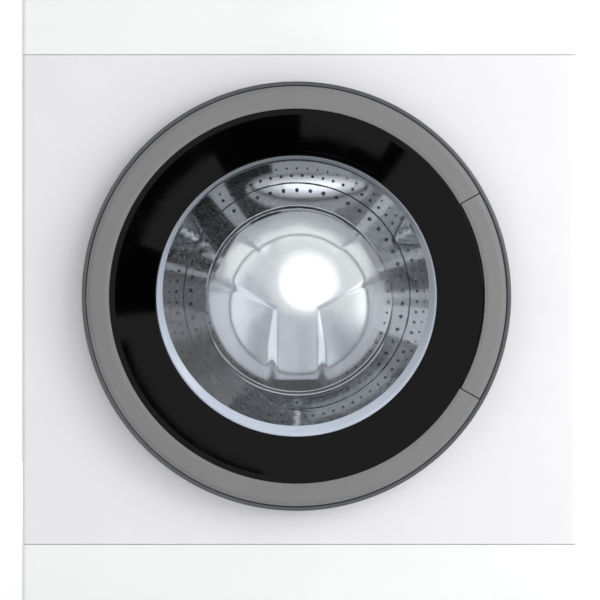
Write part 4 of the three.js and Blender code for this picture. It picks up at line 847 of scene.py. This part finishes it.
def build_flexible(name, cad, fixed_low=False):
    """A spring or hose from the cabinet to the tub: the CAD node's own shape, not attached to any
    body.
    """
    shape = NODES[cad].data
    low, high = box(cad)
    centre = middle(cad)
    moving, fixed = (tuple(MM * Vector((centre.x, centre.y, z))) for z in (low.z, high.z))
    if fixed_low:
        moving, fixed = fixed, moving
    made = piece(name, [v.co for v in shape.vertices], [list(f.vertices) for f in shape.polygons],
                 cad, bends=True, unit=1)
    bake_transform(made)


build_boot()
build_flexible("coil_left", "suspension_spring_left")
build_flexible("coil_right", "suspension_spring_right")
build_flexible("fill_hose", "dispenser_hose")
build_flexible("sump_bellows", "sump_hose", fixed_low=True)

# -------- cabinet

RIGHT, INTO = Vector((1, 0, 0)), Vector((0, 1, 0))
REAR_LOW, REAR_HIGH = box("rear_panel")
REAR = REAR_HIGH.y
VALVE_LOW, VALVE_HIGH = box("inlet_valve")
VALVE = middle("inlet_valve")
DRAIN = (box("drain_pump")[1].x - 17.1, 110)  # where the drain's outlet leaves
LID_SCREWS = [22.5 + 45 * number for number in range(8)]


def build_front_panel():
    """The white front sheet with its porthole and the slots for hinge and latch."""
    low, high = PANEL_LOW, PANEL_HIGH
    made = sheet_metal("front_sheet", folded(low.x, high.x, 12, 6, high.y - low.y),
                       folded(low.z, high.z, 12, 1.6, 15), lambda a, u: Vector((a, low.y, u)),
                       INTO, 1.2, "front_panel")
    hole = radii("door_boot")[1] + 2.4
    front, back = -5, 10
    cut_away(made, prism(oval(AXIS.x, AXIS.z, hole, hole, 160), FACE + front, FACE + back),
             slot_hole(PIN.x - 4, PIN.x + 4, HINGE_GAP, front, back),
             slot_hole(HOOK_LOW.x - 4, HOOK_HIGH.x + 9, 12, front, back))
    lathe("porthole_lip", [(hole + 0.6, 0.5), (hole + 0.6, 14, 0.5), (hole - 1.2, 14, 0.5),
                           (hole - 1.2, 0.05, 1.2)], slot="white_paint")


def build_sides():
    """The two side sheets."""
    low, high = box("side_panel_right")
    centre = ((low.y + high.y) / 2, (low.z + high.z) / 2)
    half = ((high.y - low.y) / 2, (high.z - low.z) / 2)
    across = folded(low.y, high.y, 5.95, 1.6, 14)
    up = folded(low.z, high.z, 6, 1.6, 4)

    def press(a, u):
        """A pressed border and a field of three long swages that stiffen the side."""
        field = inside_box(a, u, *centre, half[0] - 55, half[1] - 60, 28)
        depth = 2.6 * smooth_step(0, 9, field)
        for number in (-1, 0, 1):
            swage = inside_box(a, u, centre[0] + number * 115, centre[1], 16, half[1] - 120, 16)
            depth -= 1.6 * smooth_step(0, 8, swage)
        return depth

    for side, label in ((-1, "left"), (1, "right")):
        sheet_metal(f"side_sheet_{label}", across, up, lambda a, u: Vector((side * high.x, a, u)),
                    -side * RIGHT, 1.1, f"side_panel_{label}", press)


def build_rear_sheet():
    """The pressed rear sheet with its openings and screws."""
    ribs = [(0, z, 200, 9) for z in (680, 720)]
    ribs += [(x, 150, 9, 70) for x in (-200, -120, -40, 40)]
    ribs += [(x, 430, 9, 190) for x in (-250, 250)]

    def press(a, u):
        return max(2.4 * smooth_step(0, 7, inside_box(a, u, *rib, 9)) for rib in ribs)

    made = sheet_metal("rear_sheet", folded(REAR_LOW.x, REAR_HIGH.x, 6, 1, 1.1),
                       folded(REAR_LOW.z, REAR_HIGH.z, 6, 1, 1.1),
                       lambda a, u: Vector((a, REAR, u)), -INTO, 0.9, "rear_panel", press)
    holes = ((AXIS.x, AXIS.z, 172, 128), (VALVE.x, VALVE.z, 14.3, 48), (*DRAIN, 12, 48))
    cut_away(made, *(prism(oval(x, z, radius, radius, sides), REAR - 8, REAR + 5)
                     for x, z, radius, sides in holes))
    places = [(x, REAR, z) for x in (REAR_LOW.x + 9, REAR_HIGH.x - 9)
              for z in (40, 170, 300, 430, 560, 690, 800)]
    places += [(x, REAR, REAR_HIGH.z - 9) for x in (-190, -95, 0, 95, 190)]
    screws("rear_screws", places)


def build_rear_fittings():
    """Plugs over the transit bolts, the gland for the mains lead and the round service lid."""
    for number, (x, z) in enumerate(((-215, 600), (215, 600), (-215, 265), (215, 265)), 1):
        lathe(f"transit_cap_{number}", [
            (0, 3.2), (7, 3.2), (8.4, 2.4), (9, 1.2), (13, 1.2), (14.4, 0.6), (14.6, 0.05), (0, 0.05),
        ], slot="dark_plastic", centre=Vector((x, REAR, z)), segments=48, solid=True)
    lathe("mains_gland", [
        (0, 2), (5, 2), (5.5, 10), (8, 10), (8.6, 9), (9.6, 4), (13, 3.4), (14, 2.4), (14, 0.05),
        (0, 0.05),
    ], slot="black_rubber", centre=Vector((240, REAR, 740)), segments=48, solid=True)
    low, high = box("rear_service_cover")
    back = high.y - REAR
    rim = (high.x - low.x) / 2
    outline = [(0, back)]
    for inner, outer in ((26, 50), (78, 102), (130, 152)):
        outline += [(inner, back), (inner + 6, back - 2.2), (outer - 6, back - 2.2), (outer, back)]
    outline += [(159, back), (162, back - 1), (168, 2.3), (171, 1.5), (rim - 1, 1.5), (rim, 1.1),
                (rim, 0.3), (0, 0.3)]
    lathe("service_lid", outline, "rear_service_cover",
          centre=Vector((AXIS.x, REAR, AXIS.z)), solid=True, smooth=25)
    screws("lid_screws", around(179, LID_SCREWS, REAR + 1.5), radius=3.2)


def build_inlet():
    """The inlet valve: its threaded neck through the rear and its body inside."""
    end = VALVE_HIGH.y
    inner = REAR - 14
    thread = [(9, inner), (14, inner)]
    for number in range(7):
        start = REAR - 1 + 2 * number
        thread += [(12.6, start), (14, start + 0.8), (14, start + 1.2)]
    thread += [(12.4, end), (9.6, end), (9, end - 0.8)]
    lathe("inlet_thread", thread, "inlet_valve", centre=Vector((VALVE.x, 0, VALVE.z)),
          segments=64)
    box_piece("valve_body", VALVE_LOW, (VALVE_HIGH.x, inner, VALVE_HIGH.z), 3,
              slot="white_plastic")


def build_top_and_plinth():
    """The worktop, the plinth with its flap and filter, and the base tray."""
    box_piece("worktop_slab", *box("worktop"), 3.2, "worktop")
    softened("plinth_shell", "plinth_panel", 0.7)
    low, high = box("filter_flap")
    flap = box_piece("flap_cover", low, high, 0.9, "filter_flap")
    notch = oval((low.x + high.x) / 2, high.z + 6, 14, 14)
    cut_away(flap, prism(notch, low.y - 1, low.y + 1.3))
    softened("filter_knob", "pump_filter_cap", 0.8)
    softened("tray", "base_tray", 0.9)


def build_feet():
    """Four ribbed rubber pads on threaded stems."""
    for corner in ("front_left", "front_right", "rear_left", "rear_right"):
        low, high = box(f"foot_{corner}")
        centre = middle(f"foot_{corner}")
        wide = (high.y - low.y) / 2
        outline = [(0, 0), (wide - 3, 0), (wide - 0.6, 0.8), (wide, 2)]
        for number in range(3):
            rib = 2.6 + 1.8 * number
            outline += [(wide, rib), (wide - 1, rib + 0.6), (wide, rib + 1.2)]
        outline += [(wide - 2, 9), (10, 9.4), (10, 13.4), (5, 13.6)]
        for number in range(14):
            outline += [(5, 14 + 2 * number), (4.2, 15 + 2 * number)]
        outline += [(4.2, high.z - 1), (3.4, high.z), (0, high.z)]
        lathe(f"pad_{corner}", outline, f"foot_{corner}", centre=Vector((centre.x, centre.y, 0)),
              segments=48, solid=True, upright=True, smooth=30)


# -------- controls

KNOB_LOW, KNOB_HIGH = box("program_knob")
KNOB = Vector((middle("program_knob").x, FACE, middle("program_knob").z))
KNOB_FRONT = KNOB_LOW.y - FACE
KNOB_RADIUS = (KNOB_HIGH.x - KNOB_LOW.x) / 2
NUMBER_RADIUS = 37.5
TICK_IN, TICK_OUT = 29.6, 32.4


def build_number(number, place):
    """One plain number."""
    text = bpy.data.curves.new(f"number_{number}", "FONT")
    text.body = str(number)
    text.size = 6.4 * MM
    text.align_x = "CENTER"
    text.align_y = "CENTER"
    text.extrude = 0.06 * MM
    text.materials.append(LOOKS["dark_plastic"])
    made = link(f"number_{number}", text)
    made.location = place * MM
    made.rotation_euler = (pi / 2, 0, 0)
    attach(made, "cabinet")


def build_dial():
    """Plain numbers and ticks round the dial, all but at its top."""
    for number in range(1, 12):
        turn = radians(90 - 30 * number)
        out = Vector((cos(turn), 0, sin(turn)))
        if 2 <= number <= 10:
            build_number(number, KNOB + out * NUMBER_RADIUS - INTO * 0.05)
        side = Vector((-out.z, 0, out.x)) * 0.3
        near, far = KNOB + out * TICK_IN, KNOB + out * TICK_OUT
        corners = (near - side, near + side, far + side, far - side)
        vertices = [(c.x, FACE - lift, c.z) for lift in (-0.05, 0.08) for c in corners]
        piece(f"tick_{number}", vertices, [[0, 1, 2, 3], [4, 5, 6, 7]] + grid_faces(2, 4, True),
              slot="dark_plastic")


def knurl(place):
    """Fine grip flutes down the knob's side."""
    share = smooth_step(0.75 * KNOB_RADIUS, 0.92 * KNOB_RADIUS, hypot(place.x, place.z))
    share *= smooth_step(-1, -4, place.y) * smooth_step(KNOB_FRONT, KNOB_FRONT + 3, place.y)
    flute = 0.5 + 0.5 * cos(40 * atan2(place.z, place.x))
    size = 1 - 0.035 * share * flute
    return Vector((place.x * size, place.y, place.z * size))


def build_knob():
    """The program knob, its ring on the fascia and its pointer."""
    front, wide = KNOB_FRONT, KNOB_RADIUS
    outline = rounded([
        (0, front + 1.2), (wide - 9, front + 1.2, 3), (wide - 5, front, 1.5), (wide - 2.2, front, 1.6),
        (wide - 0.8, -3), (wide, -2.4, 0.4), (wide, -0.4), (0, -0.4)])
    rows = []
    for first, second in zip(outline, outline[1:]):
        long_side = (second - first).length > 8 and min(first.x, second.x) > 0.8 * wide
        parts = 8 if long_side else 1
        rows += [first.lerp(second, k / parts) for k in range(parts)]
    lathe("knob_cap", rows + [outline[-1]], "program_knob", centre=KNOB, segments=320,
          lean=knurl, solid=True, smooth=35)
    lathe("knob_ring", [(wide + 1.6, -0.05), (wide + 1.6, -0.9, 0.4), (wide + 0.5, -0.9, 0.3),
                        (wide + 0.5, -0.05)], slot="dark_rim", centre=KNOB, segments=128)
    box_piece("knob_pointer", KNOB + Vector((-0.9, front + 0.9, wide - 13)),
              KNOB + Vector((0.9, front + 1.5, wide - 8)), 0.2, slot="white_plastic", body="knob")


def build_key(key):
    """A round key, its ring and the lamp above it."""
    low, high = box(f"{key}_button")
    centre = Vector(((low.x + high.x) / 2, FACE, (low.z + high.z) / 2))
    wide = (high.x - low.x) / 2
    proud = low.y - FACE
    lathe(f"{key}_cap", [
        (0, proud + 0.9), (0.3 * wide, proud + 0.8), (0.6 * wide, proud + 0.45),
        (0.84 * wide, proud), (0.93 * wide, proud + 0.15), (0.98 * wide, proud + 0.6),
        (wide, proud + 1.2), (wide, 5), (0.35 * wide, 5), (0.33 * wide, 12), (0, 12),
    ], f"{key}_button", centre=centre, segments=64, solid=True)
    lathe(f"{key}_ring", [(wide + 1.5, -0.02), (wide + 1.5, -0.5, 0.2), (wide + 0.4, -0.5, 0.2),
                          (wide + 0.4, -0.02)], slot="dark_rim", centre=centre, segments=64)
    lathe(f"{key}_lamp", [(0, -0.7), (0.8, -0.6), (1.3, -0.3), (1.4, 0.05), (0, 0.05)],
          slot="blue_plastic", centre=centre + Vector((0, 0, wide + 6)), segments=24, solid=True)


build_front_panel()
build_sides()
build_rear_sheet()
build_rear_fittings()
build_inlet()
build_top_and_plinth()
build_feet()
softened("fascia_shell", "control_fascia", 0.7)
softened("drawer_body", "detergent_drawer", 0.9)
softened("window", "display_window", 0.4)
build_knob()
build_dial()
for key in ("power", "option", "start"):
    build_key(key)

# -------- carried-over CAD nodes

for name, slot in SLOT_OF.items():
    mesh = NODES[name].data
    mesh.materials.clear()
    mesh.materials.append(LOOKS[slot])

# -------- camera

CAMERA_DISTANCE = 1800
VIEW_WIDTH = 645.3  # width of the front that the picture shows
SENSOR = 36.0
EYE = Vector((0.75, FACE - CAMERA_DISTANCE, (PANEL_LOW.z + PANEL_HIGH.z) / 2 - 0.43))

camera_data = bpy.data.cameras.new("camera")
camera_data.sensor_width = SENSOR
camera_data.lens = SENSOR * CAMERA_DISTANCE / VIEW_WIDTH
camera = link("camera", camera_data)
camera.location = EYE * MM
camera.rotation_euler = (pi / 2, 0, 0)
bpy.context.scene.camera = camera

# -------- floor


def flat(name, corners, material):
    """A flat piece of the stage."""
    mesh = bpy.data.meshes.new(name)
    mesh.from_pydata([tuple(Vector(c) * MM) for c in corners], [], [list(range(len(corners)))])
    mesh.materials.append(material)
    made = link(name, mesh)
    return made


def seen(tree):
    """1 for a ray from the eye, or one that a mirror or a glass sends on, and 0 for stray light."""
    path = add(tree, "LightPath").node.outputs
    value = path["Is Camera Ray"]
    for ray in ("Is Glossy Ray", "Is Transmission Ray"):
        value = add(tree, "Math", {0: value, 1: path[ray]}, operation="MAXIMUM")
    return value


def floor_look():
    """A pale matt surface that also glows for whoever sees it, so that it meets the background."""
    made = look("pale_floor", "f4f4f4", 0.8, tint=0.01, grain=200)
    tree = made.node_tree
    shader = tree.nodes["Principled BSDF"].inputs
    away = add(tree, "VectorMath", {0: place_in(tree)}, "Value", operation="LENGTH")
    glow = ramp(tree, away, 700 * MM, 1500 * MM, 0.3, 1.0, "SMOOTHSTEP")
    strength = add(tree, "Math", {0: seen(tree), 1: glow}, operation="MULTIPLY")
    feed(tree, shader["Emission Strength"], strength)
    shader["Emission Color"].default_value = (1, 1, 1, 1)
    return made


flat("floor", [(-1700, -1500, 0), (1700, -1500, 0), (1700, 2300, 0), (-1700, 2300, 0)], floor_look())

# -------- cards

CARDS = 3000  # depth of the dark cards before the machine
BACKDROP = CAMERA_DISTANCE + 450
SPOT = CAMERA_DISTANCE + 50
WITHIN = -DRUM_FRONT - 14  # depth of the cards inside the drum
COOL = (0.94, 0.98, 1.06)
PALE = (0.97, 0.99, 1.04)
CREAM = (1, 1, 0.975)
DARK_ARCS = (  # inner and outer radius, start and end of each arc
    (700, 890, 232, 238), (790, 890, 238, 268), (700, 890, 268, 300), (700, 775, 300, 342),
    (700, 890, 342, 367), (700, 750, 15, 80))
REFLECTIONS = (  # name, outline, strength, tint
    ("low_rim", [(-66, 6), (-58, -28), (-30, -58), (34, -58), (62, -28), (70, 6), (132, 10),
                 (135, -90), (80, -140), (-80, -140), (-135, -90), (-132, 10)], 1.28, COOL),
    ("cream", [(-90, 76), (-40, 97), (0, 100), (50, 92), (86, 60), (99, 10), (86, -36), (56, -24),
               (33, -19), (-22, -13), (-41, 20), (-64, 40), (-82, 12)], 1.02, CREAM),
    ("cream_rim", [(-112, 12), (-70, 12), (-58, 44), (-34, 66), (0, 74), (36, 66), (62, 42),
                   (72, 8), (66, -24), (104, -44), (118, 10), (100, 66), (56, 104), (0, 118),
                   (-56, 104), (-100, 66)], 1.8, CREAM),
    ("column", [(-27, -19), (34, -19), (32, -96), (-25, -96)], 0.82, COOL),
    ("column_shade", [(-3, -25), (11, -25), (9, -90), (0, -90)], 0.64, (0.93, 0.98, 1.06)),
    ("left_glow", [(-97, 8), (-84, 12), (-74, 0), (-80, -12), (-94, -10)], 1.25, PALE),
    ("left_streak", [(-86, -34), (-34, -5), (-31, -11), (-84, -42)], 1.05, PALE),
    ("low_streak", [(-62, -52), (-40, -40), (-38, -44), (-60, -58)], 1.0, PALE),
    ("left_facet", [(-60, -30), (-36, -16), (-32, -84), (-54, -70)], 0.5, (0.95, 0.98, 1.04)),
    ("right_facet", [(38, -24), (72, -36), (60, -74), (38, -88)], 0.5, (0.93, 0.98, 1.07)),
    ("right_glow", [(44, -26), (62, -24), (64, -40), (46, -40)], 0.85, (0.95, 0.98, 1.05)),
    ("cool_streak", [(-40, 96), (-28, 96), (-26, 30), (-42, 20)], 0.85, (0.96, 0.98, 1.03)),
)
STREAKS_FROM = 44  # turn at which the first stretch starts
STREAKS = (  # end and strength of each stretch round the drum
    (50, 0.62), (66, 0.2), (101, 0.42), (123, 0.02), (131, 0.4), (152, 0.01), (156, 0.45),
    (165, 0.015), (168, 0.4), (172, 0.1), (200, 0.16), (250, 0.03), (290, 0.03), (325, 0.09),
    (338, 0.2), (355, 0.65), (359, 0.3), (363, 0.5), (377, 0.1), (381, 0.5), (404, 0.34))
WINDOW = (  # strength, middle and half sizes of each nested ellipse
    (0.4, 20, 177, 104, 32), (0.08, 20, 182, 98, 21), (0.68, 20, 184, 92, 16),
    (1.15, 24, 184, 70, 11), (1.9, 26, 184, 48, 7))


def card(name, depth, outline, strength, tint=(1, 1, 1), inside=False):
    """A flat card in front of the machine: dark, or softly lit. Only what shines on the outside
    mirrors it, or, with inside, only the steel behind the door's glass."""
    glow = bpy.data.materials.new(name)
    glow.use_nodes = True
    tree = glow.node_tree
    tree.nodes.clear()
    feed(tree, tree.nodes.new("ShaderNodeOutputMaterial").inputs["Surface"],
         add(tree, "Emission", {"Strength": strength, "Color": (*tint, 1)}))
    made = flat(name, [(AXIS.x + x, FACE - depth, AXIS.z + z) for x, z in outline], glow)
    made.visible_camera = False
    made.visible_diffuse = False
    made.visible_shadow = False
    made.visible_glossy = not inside
    made.visible_transmission = inside


def sector(inner, outer, start, end, steps=24):
    """Corners of a piece of a ring."""
    turns = [radians(start + (end - start) * i / steps) for i in range(steps + 1)]
    return ([(inner * cos(t), inner * sin(t)) for t in turns]
            + [(outer * cos(t), outer * sin(t)) for t in reversed(turns)])


def mirrored(outline, depth):
    """Puts an outline of (x, z) points, drawn on the drum's back as the camera sees it in the
    front's plane, onto a card at a depth that the back mirrors there."""
    reach = (CAMERA_DISTANCE + 2 * DRUM_BACK + depth) / CAMERA_DISTANCE
    return [(EYE.x + x * reach - AXIS.x, EYE.z + z * reach - AXIS.z) for x, z in outline]


def build_cards():
    """All the cards. The reflections lie one before the other, each 10 mm nearer."""
    for number, arc in enumerate(DARK_ARCS, 1):
        card(f"dark_arc_{number}", CARDS, sector(*arc), 0.0)
    card("haze_card", BACKDROP, [(-1600, -1200), (1600, -1200), (1600, 1400), (-1600, 1400)],
         0.68, COOL, inside=True)
    for number, (name, outline, strength, tint) in enumerate(REFLECTIONS, 1):
        depth = BACKDROP - 10 * number
        card(name, depth, mirrored(outline, depth), strength, tint, inside=True)
    card("spot_card", SPOT, mirrored(oval(8, 18.5, 29, 29), SPOT), 2.4, inside=True)
    start = STREAKS_FROM
    for number, (end, strength) in enumerate(STREAKS, 1):
        card(f"streak_{number}", WITHIN, sector(133, 234, start, end, 6), strength,
             (0.93, 0.97, 1.06))
        start = end
    for number, (strength, *ellipse) in enumerate(WINDOW, 1):
        card(f"window_{number}", WITHIN - number, oval(*ellipse), strength, (0.95, 0.98, 1.04))
    card("low_glow", WITHIN - 1, sector(182, 206, 262, 335), 0.3, (0.92, 0.97, 1.07))


build_cards()

# -------- light

BACK_AIM = Vector((0, 250, 400))
LAMPS = (  # name, place, side, power, aim, shown in mirrors
    ("key", (1350, -1750, 1150), 1300, 16, AXIS, True),
    ("fill", (-1700, -2200, 1000), 1600, 5, AXIS, True),
    ("front", (500, -2400, 450), 1400, 8, AXIS, False),
    ("side", (1500, -1200, 450), 800, 4, AXIS, False),
    ("back_key", (-1500, 2300, 1700), 900, 20, BACK_AIM, True),
    ("back_fill", (1900, 1600, 600), 1200, 7, BACK_AIM, True))

for name, place, size, power, aim, shown in LAMPS:
    data = bpy.data.lights.new(name, "AREA")
    data.shape = "RECTANGLE"
    data.size = data.size_y = size * MM
    data.energy = power
    made = link(name, data)
    made.location = Vector(place) * MM
    made.rotation_euler = (aim - Vector(place)).to_track_quat("-Z", "Y").to_euler()
    made.visible_glossy = shown
    made.visible_transmission = shown

world = bpy.data.worlds.new("studio")
world.use_nodes = True
bpy.context.scene.world = world
tree = world.node_tree
dim = tree.nodes["Background"]
dim.inputs["Color"].default_value = (1, 1, 1, 1)
dim.inputs["Strength"].default_value = 0.52
bright = add(tree, "Background", {"Color": (1, 1, 1, 1), "Strength": 1.0})
feed(tree, tree.nodes["World Output"].inputs["Surface"],
     add(tree, "MixShader", {0: seen(tree), 1: dim.outputs[0], 2: bright}))

bpy.context.scene.view_settings.view_transform = "Standard"
